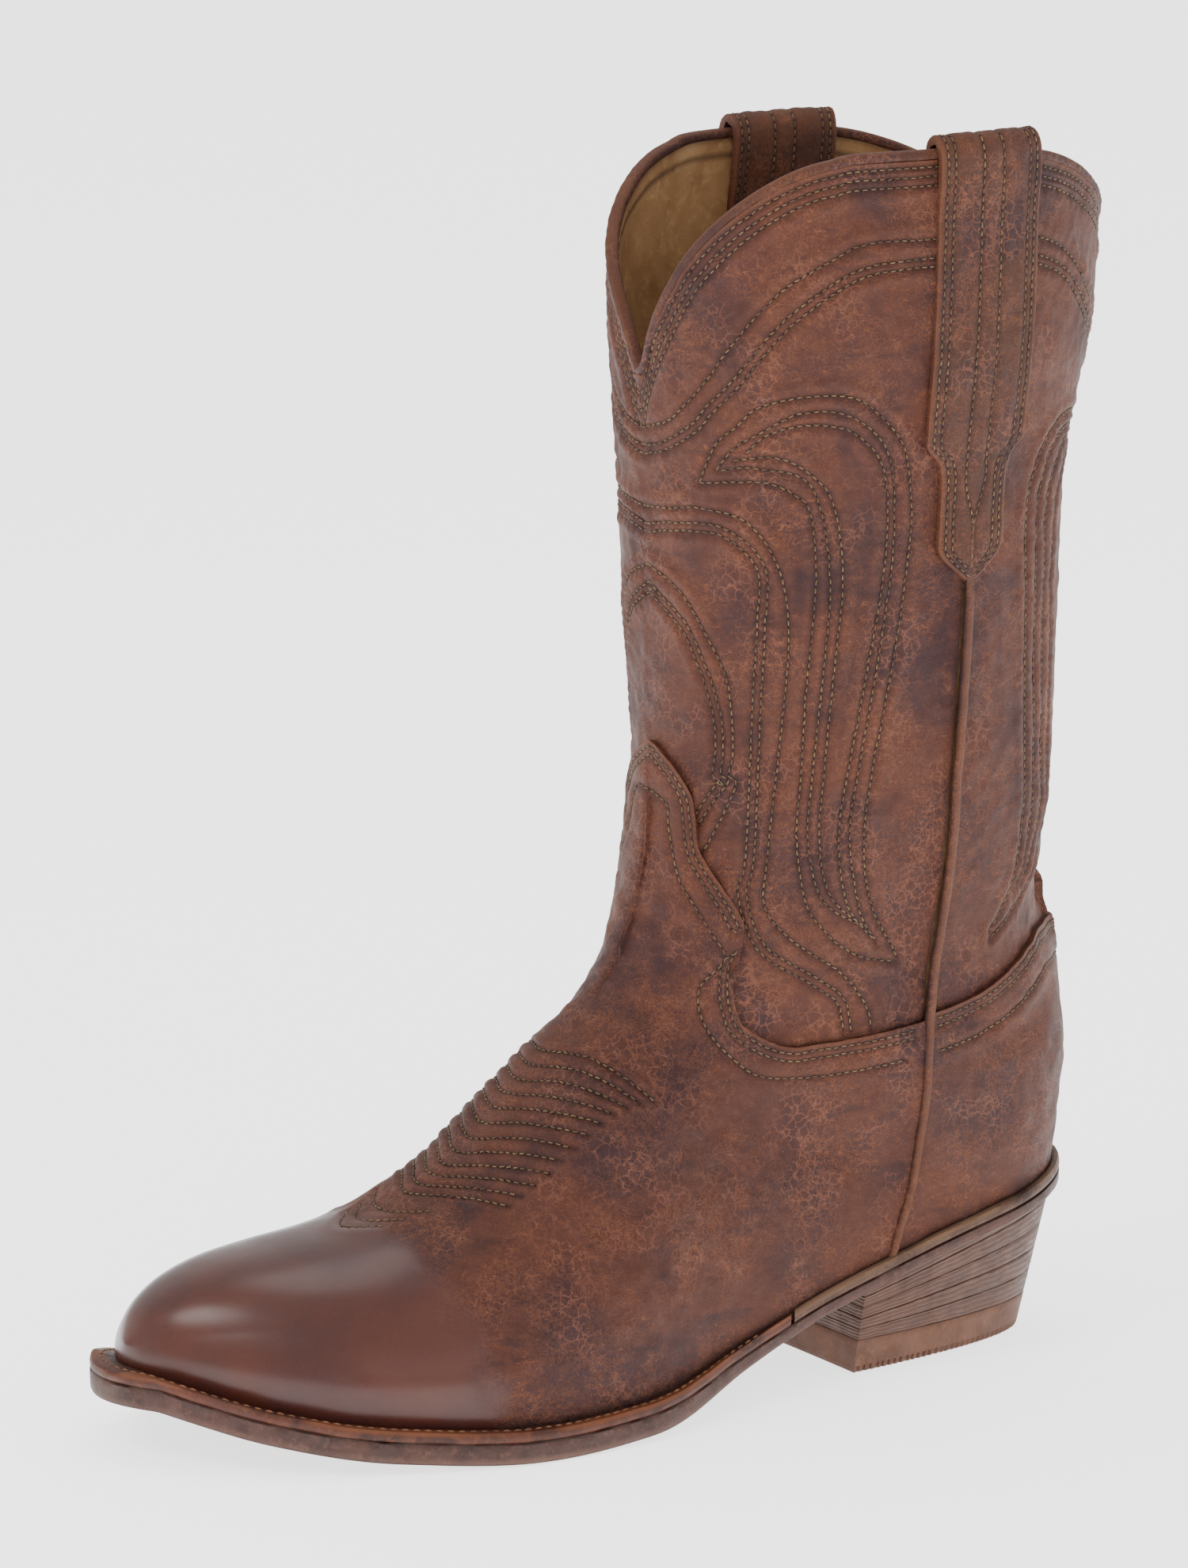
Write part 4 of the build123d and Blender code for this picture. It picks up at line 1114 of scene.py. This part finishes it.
def build_piping(name, side, finish):
    """Thin bead of leather in the side seam, flat under the pull strap."""
    count = 300
    end = 0.9999 if side > 0 else 0.0001
    levels = np.linspace(HEM, 341.0 if side > 0 else 336.0, count)
    line = surface("front", np.full(count, end), levels)
    near = surface("front", np.full(count, abs(end - 0.012)), levels)
    along = unit(np.gradient(line, axis=0))
    normal = unit(np.cross(along, unit(near - line))) * side
    normal = normal * np.sign(normal[:, 1:2] * side)
    proud = 1.15 * (1 - step((line[:, 2] - 222) / 8)) + 0.1
    line = line + normal * (lap(line) + slack(line))[:, None]
    ahead = unit(np.cross(normal, along))
    angle = np.linspace(0, 2 * math.pi, 16, endpoint=False)
    c, d = np.cos(angle), np.sin(angle)
    rings = []
    for k in range(count):
        lift = np.where(d > 0, d * proud[k], d * 1.4)
        rings.append(line[k] + ahead[k] * (c * 1.45)[:, None] + normal[k] * lift[:, None])
    marks = around(count, step((d - 0.5) / 0.5) * 0.7, bell(d, 0.35))
    loft("seam_piping_" + name, rings, finish, marks, node=["side_welt_" + name],
         slot="piping_leather")


def build_strap(name, side, finish, sewn):
    """Pull strap folded over the collar, sewn down to a pointed tail."""
    path = through([(0, w, z) for w, z in STRAP_PATH], 0.9)[:, 1:]
    along = unit(np.gradient(path, axis=0))
    away = np.stack([along[:, 1], -along[:, 0]], 1)
    half_at = smooth(STRAP_HALF)
    drop = INNER_DROP if side < 0 else 0.0
    inside = np.arange(len(path)) > np.argmax(path[:, 1])
    count = 49
    u = np.linspace(-1, 1, count)

    def rows_at(lift, u_values):
        rows, facing = [], []
        for k, (w, z) in enumerate(path):
            half = STRAP_WIDE if inside[k] else float(half_at(z))
            zz = np.minimum(z - drop, SHAFT_TOP)
            t = float(seam_t(min(z - drop, 340.0))) + half * u_values
            depth, middle = shaft_oval(zz)
            share = np.abs((t - middle) / depth)
            flat = np.clip(1 - share ** SHAFT_POWER, 0.01, 1)
            l = shaft_half(zz) * flat ** (1 / SHAFT_POWER)
            slope = -(share ** (SHAFT_POWER - 1) * np.sign(t - middle) / depth)
            slope = slope * shaft_half(zz) * flat ** (1 / SHAFT_POWER - 1)
            n = unit(np.stack([-slope, np.ones_like(t), 0 * t], -1))
            base = np.stack([t, l, np.full_like(t, z - drop)], -1)
            out = w + lift * away[k, 0]
            p = base + n * out + np.array([0, 0, 1.0]) * lift * away[k, 1]
            rows.append(p * [1, side, 1])
            facing.append((n * away[k, 0] + np.array([0, 0, 1.0]) * away[k, 1]) * [1, side, 1])
        return np.array(rows), np.array(facing)

    face, facing = rows_at(STRAP, u)
    face = face + facing * (slack(face) * step((300 - face[..., 2]) / 40))[..., None]
    halves = np.array([STRAP_WIDE if i else float(half_at(z)) for i, z in zip(inside, path[:, 1])])
    inset = (1 - np.abs(u))[None] * halves[:, None]
    stop = int(np.argmax(inside)) + 8
    index = np.arange(len(path))[:, None]
    sewn_rows = []

    def line_at(offset, start, end):
        points, directions = [], []
        for k in range(start, end):
            x = np.clip(offset(k) / halves[k], -1, 1)
            j = (x + 1) / 2 * (count - 1)
            points.append([np.interp(j, np.arange(count), face[k, :, c]) for c in range(3)])
            directions.append([np.interp(j, np.arange(count), facing[k, :, c]) for c in range(3)])
        return np.array(points), unit(np.array(directions))

    first = int(np.argmax(halves > 2.6))
    last = len(path) - 3
    for edge in (2.0, 4.3):
        first = int(np.argmax(halves > edge + 0.5))
        for sign in (-1, 1):
            sewn_rows.append(line_at(lambda k: sign * (halves[k] - edge), first, last))
    split = int(np.argmax(path[:, 1] > 242))
    join = int(np.argmax(path[:, 1] > 258))
    for sign in (-1, 1):
        sewn_rows.append(line_at(lambda k: sign * 3.4 * step((k - split) / (join - split)),
                                 split, last))
    sewn_rows.append(line_at(lambda k: 0.0, int(np.argmax(path[:, 1] > 232)), split))
    near, _ = far_from(tree_of(np.concatenate([p for p, _ in sewn_rows])), face)
    round_edge = 0.5 * np.exp(-(inset / 0.5) ** 2)
    relief = quilt(near, 0.3, 0.2) - round_edge + 0.07 * field(face, 6, 61)
    relief = relief - edge_round(relief.shape, 0.5, (0, 2))
    points = face + facing * relief[..., None]
    edge_wear = np.exp(-(inset / 0.9) ** 2) + np.exp(-((index - stop + 8) / 7.0) ** 2) * 0.6
    shell("strap_" + name, points, facing, STRAP - 0.1, finish,
          {"wear": np.clip(edge_wear, 0, 1) * 0.8, "seam": np.exp(-(near / 0.7) ** 2),
           "toe": near * 0}, node=["pull_strap_" + name], slot="strap_leather")
    tree = skin(points)
    stitching("stitching_strap_" + name, [onto(tree, p) for p, _ in sewn_rows], sewn,
              slot="thread")


# ------------------------------------------------------------ sole and heel
def plan(inset, count=260):
    """Plan outline of the foot moved in by inset(t), heel to toe and back, even spacing."""
    first = FOOT * (1 - np.cos(np.linspace(0, np.pi, 400))) / 2
    outer, inner = feather(first)
    loop = np.concatenate([np.stack([first, outer], 1), np.stack([first, inner], 1)[::-1][1:-1]])
    along = unit(np.roll(loop, -1, 0) - np.roll(loop, 1, 0))
    moved = loop + np.stack([along[:, 1], -along[:, 0]], 1) * inset(loop[:, 0])[:, None]
    half = len(first)
    a = even(moved[:half], count)
    b = even(np.concatenate([moved[half - 1:], moved[:1]]), count)
    return np.concatenate([a, b[1:-1]])


def wavy(points, size, seed, tall):
    return points + field(points, size, seed)[..., None] * tall


def build_outsole(finish):
    """Leather sole: edge with worn arrises, flat sides, tread below."""
    profile = [(14, 0.0, 0), (3.5, 0.0, 0), (0.5, 0.0, 0), (0.0, 0.10, 0), (-0.05, 0.35, 0),
               (0.0, 0.6, 0), (0.0, 0.85, 0), (0.35, 0.97, 0), (1.0, 1.0, 0), (6, 1.0, 0),
               (14, 1.0, 0)]
    rings, marks = [], []
    for inset, share, _ in profile:
        p = plan(lambda t: inset - margin(t))
        top = feather_z(p[:, 0]) - WELT
        low = np.maximum(top - sole_t(p[:, 0]), 0.0)
        z = top + (low - top) * share
        rings.append(np.column_stack([p, z]))
        marks.append(np.full(len(p), 1.0 if 0.85 < share < 1 or share == 0 else 0.0))
    rings = np.array(rings)
    rings[3:7] = wavy(rings[3:7], 9, 71, 0.08)
    count = rings.shape[1]
    faces = outward(rings.reshape(-1, 3), grid_faces(len(rings), count, closed=True)).tolist()
    caps = []
    half = count // 2
    for row, flip in ((0, False), (len(rings) - 1, True)):
        i = np.arange(count) + row * count
        left, right = i[: half + 1], np.concatenate([i[half:], i[:1]])[::-1]
        for k in range(half):
            quad = [int(left[k]), int(left[k + 1]), int(right[k + 1]), int(right[k])]
            quad = [q for j, q in enumerate(quad) if q not in quad[:j]]
            caps.append(quad[::-1] if flip else quad)
    points = rings.reshape(-1, 3)
    t = points[:, 0]
    worn = (points[:, 2] < 1.5 + feather_z(t) - WELT - sole_t(t)) * 1.0
    wear = worn * (0.4 + 0.6 * np.exp(-((t - 195) / 30) ** 2))
    make("sole", points, faces + caps, finish, {"wear": wear, "seam": np.concatenate(marks)},
         node=["outsole"], slot="outsole_leather")


def strip(name, profile, first, last, material, node, slot):
    """Strip laid around the feather edge: profile holds (inset at 1 = margin, dz) points.
    first and last are the distances along the foot where it starts and ends."""
    rings = []
    outline = plan(lambda t: 0 * t, 500)
    for share, extra, dz in profile:
        p = plan(lambda t: share * -margin(t) + extra, 500)
        rings.append(np.column_stack([p, feather_z(p[:, 0]) + dz]))
    rings = np.array(rings)
    if first < 0:
        keep = np.where(outline[:, 0] <= last)[0]
        split = int(np.argmax(np.diff(keep) > 1)) + 1
        order = np.concatenate([keep[split:], keep[:split]])
    else:
        order = np.where(outline[:, 0] >= first)[0]
    rings = rings[:, order].transpose(1, 0, 2)
    rings = wavy(rings, 11, 72, 0.07)
    seam = np.repeat([[1.0 if share == 0 else 0.0 for share, _, _ in profile]], len(rings), 0)
    wear = np.repeat([[1.0 if 0.4 < share < 1.01 and dz > -0.9 else 0.0
                       for share, _, dz in profile]], len(rings), 0)
    loft(name, rings, material, {"wear": wear * step(field(rings, 30, 73) + 0.9), "seam": seam},
         node=[node], slot=slot)


WELT_PROFILE = [(0, 0.5, -0.1), (0, -0.6, -0.35), (0, -0.9, 0.1), (0.55, 0, 0.15), (0.9, 0, 0.05),
                (1.0, 0.15, -0.35), (1.0, -0.1, -1.3), (1.0, 0.0, -2.4), (1.0, 0.5, -2.95),
                (0, 0.5, -2.95)]
RAND_PROFILE = [(0, 0.5, 0.35), (0, -0.5, 0.55), (0.5, 0, 0.5), (0.85, 0, 0.1), (1.0, 0, -0.7),
                (1.05, 0, -1.5), (1.0, 0, -2.3), (0.85, 0.2, -2.85), (0, 0.5, -2.95)]


def welt_seam(finish):
    p = plan(lambda t: -0.55 * margin(t), 900)
    p = p[p[:, 0] > 119]
    line = np.column_stack([p, feather_z(p[:, 0]) + 0.05])
    facing = np.repeat([[0.0, 0.0, 1.0]], len(line), 0)
    stitching("welt_seam", [(line, facing)], finish, 3.1, 2.3, 0.36, 0.12,
              node=["welt_stitching"], slot="thread")


def heel_section(z, count=90):
    """D-shaped outline of the heel at height z, starting and ending at the breast."""
    share = z / HEEL_HEIGHT
    rear, breast, half = (a + (b - a) * share for a, b in ((8.5, -6.5), (79, 76), (24, 34.3)))
    s = np.sin(np.linspace(-np.pi / 2, np.pi / 2, count))
    run = np.where(np.abs(s) > 0.99999, 0, 1 - np.abs(s) ** 2.6)
    t = breast - (breast - rear) * np.clip(run, 0, 1) ** 0.5
    l = half * s * (1 - 0.10 * (breast - t) / (breast - rear))
    curve = even(np.column_stack([t, l]), 4 * count)
    front = np.column_stack([np.full(40, breast), np.linspace(curve[-1, 1], curve[0, 1], 42)[1:-1]])
    return np.concatenate([curve, front])


def inward(section, distance):
    middle = np.array([section[:, 0].mean() + 6, 0.0])
    away = section - middle
    size = np.linalg.norm(away, axis=1)[:, None]
    return section - away / size * np.asarray(distance)[..., None]


def heel_ring(share, inset):
    """Ring at a share of the stack's height: the stack is taller at the back."""
    low = heel_section(TOP_LIFT)
    z = np.full(len(low), TOP_LIFT)
    for _ in range(3):
        t = low[:, 0]
        top = feather_z(np.minimum(t, 100)) - WELT - sole_t(np.minimum(t, 100))
        z = TOP_LIFT + share * (top - TOP_LIFT)
        a, b = heel_section(0.0), heel_section(HEEL_HEIGHT)
        low = a + (b - a) * (z / HEEL_HEIGHT)[:, None]
    p = inward(low, np.full(len(low), inset))
    return np.column_stack([p, z])


def build_heel(finish, rubber):
    for k in range(LIFTS):
        rings, layer, seam = [], [], []
        for s, inset in ((0.004, 0.28), (0.05, 0.06), (0.2, 0), (0.4, 0.03), (0.6, 0), (0.8, 0.04),
                         (0.95, 0.05), (0.996, 0.28)):
            share = (k + s) / LIFTS
            made = heel_ring(share, inset)
            rings.append(wavy(made, 5, 80 + k, 0.05))
            layer.append(np.full(len(made), share))
            seam.append(np.full(len(made), 1.0 if inset > 0.2 else 0.0))
        loft("heel_layer_%d" % (k + 1), rings, finish,
             {"layer": np.array(layer), "seam": np.array(seam)},
             node=["heel_lift_%d" % (k + 1)], slot="stack_leather")
    rings, seam = [], []
    count = len(heel_section(0.0))
    tooth = 0.5 + 0.5 * np.sign(np.sin(np.arange(count) * 2 * np.pi / 5.0))
    tooth = tooth * (np.arange(count) < count - 40)
    for z, inset, cut in ((0.0, 0.7, 0.5), (0.25, 0.25, 0.6), (0.9, 0.05, 0.6), (1.9, 0.0, 0.45),
                          (2.2, 0.0, 0.0), (5.0, 0.02, 0), (8.0, 0.0, 0), (9.6, 0.05, 0),
                          (9.97, 0.3, 0)):
        p = inward(heel_section(z), inset + cut * tooth)
        rings.append(np.column_stack([p, np.full(count, z)]))
        seam.append(np.full(count, 1.0 if z > 9.8 else 0.25 if cut > 0 else 0.0))
    loft("heel_cap", rings, rubber, {"seam": np.array(seam), "wear": np.array(seam) * 0},
         node=["heel_top_lift"], slot="top_lift_rubber")


# ------------------------------------------------------------ the whole boot
upper = upper_leather("upper_leather", shine=0.24)
binding = upper_leather("binding_leather", "#42261B", "#2E1D22", "#583424")
lining = plain_leather("lining_leather", "#9A754F", "#835F3D", "#B8946A", 0.75, 22)
board = plain_leather("stiffener_board", "#7B6A55", "#5F5140", "#97866C", 0.85, 6)
insole = plain_leather("insole_leather", "#A5855B", "#866744", "#C0A47A", 0.7, 12)
welt_finish = plain_leather("welt_leather", "#532B1D", "#341B14", "#704127", 0.5, 8, 0.2)
rand_finish = plain_leather("rand_leather", "#51382C", "#37241F", "#6E533D", 0.5, 8, 0.2)
sole_finish = plain_leather("outsole_leather", "#492E26", "#34211D", "#684A3E", 0.5, 9, 0.25)
rubber = plain_leather("top_lift_rubber", "#63402E", "#503326", "#75513C", 0.6, 10, 0.12)
sewn = thread("thread", "#755E3D", "#483625")
# painted shade of the needle holes: near-black finish for the diamonds between stitches
needle_hole_shade = plain_leather("needle_hole_shade", "#1E110D", "#150B09", "#2E1B14", 0.8, 3, 0.1)
sole_thread = thread("sole_thread", "#8F5F3C", "#5A3722")
steel = metal("spring_steel", "#8C8D90", "#5E5F63")
nails = metal("nail_steel", "#808183", "#55565A")
cork = grainy("cork", "#8C6A45", "#5F452C", "#AE8A5E", 3.0)
pegwood = grainy("peg_wood", "#B39766", "#8C7148", "#CDB588", 1.2, (3, 3, 0.3))

for half in ("front", "back"):
    build_leg(half, upper, sewn)
    build_lining(half, lining)
    build_bead(half, binding)
build_vamp(upper, sewn)
build_counter(upper, sewn)
build_heel_lining(lining)
for label, way in (("left", 1), ("right", -1)):
    build_piping(label, way, binding)
    build_strap(label, way, binding, sewn)
build_outsole(sole_finish)
strip("sole_welt", WELT_PROFILE, 105.2, 400, welt_finish, "welt", "welt_leather")
strip("sole_rand", RAND_PROFILE, -1, 104.8, rand_finish, "heel_rand", "rand_leather")
welt_seam(sole_thread)
build_heel(stack_leather(), rubber)

for cad_node, look in (("vamp_lining", lining), ("toe_puff", board),
                       ("heel_stiffener", board), ("insole", insole), ("sock_liner", insole),
                       ("cork_filler", cork), ("shank", steel), ("shank_pegs", pegwood),
                       ("heel_nails", nails), ("top_lift_nails", nails)):
    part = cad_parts[cad_node]
    part.data.materials.clear()
    part.data.materials.append(look)

# ------------------------------------------------------------ floor, light, camera
FLOOR = 60.0
bpy.ops.mesh.primitive_plane_add(size=FLOOR, location=(0, 0, -0.0002))
floor = bpy.context.object
floor.name = "floor"
floor_look = Shader("floor", 0.9)
floor_look.done(floor_look.mix(floor_look.noise(400, 2), "#FDFDFD", "#F8F8F8"))
floor_look.body.inputs["Emission Color"].default_value = (1, 1, 1, 1)
floor_look.body.inputs["Emission Strength"].default_value = 1.9
floor.data.materials.append(floor_look.material)

world = bpy.data.worlds.new("studio")
bpy.context.scene.world = world
world.use_nodes = True
world.node_tree.nodes["Background"].inputs["Color"].default_value = (1, 1, 1, 1)
world.node_tree.nodes["Background"].inputs["Strength"].default_value = 1.0


def lamp(name, at, target, size, power):
    data = bpy.data.lights.new(name, "AREA")
    data.shape = "DISK"
    data.size = size
    data.energy = power
    made = bpy.data.objects.new(name, data)
    made.location = at
    made.rotation_euler = (Vector(target) - Vector(at)).to_track_quat("-Z", "Y").to_euler()
    bpy.context.scene.collection.objects.link(made)


lamp("key", (0.2, -1.5, 1.7), (0, 0, 0.15), 0.9, 16)
lamp("fill", (1.9, -0.2, 1.0), (0, 0, 0.15), 1.2, 2.5)
lamp("top", (-0.3, 0.3, 2.0), (0, 0, 0.1), 1.2, 8)

camera_data = bpy.data.cameras.new("camera")
camera = bpy.data.objects.new("camera", camera_data)
bpy.context.scene.collection.objects.link(camera)
camera_data.sensor_fit = "HORIZONTAL"
camera_data.sensor_width = 36
camera_data.lens = 238.24
eye = Vector(place_m([1290.4, 1769.5, 628.6]))
aim = Vector(place_m([138.0, -18.7, 168.5]))
camera.location = eye
camera.rotation_euler = (aim - eye).to_track_quat("-Z", "Y").to_euler()
camera_data.clip_start = 0.05
bpy.context.scene.camera = camera
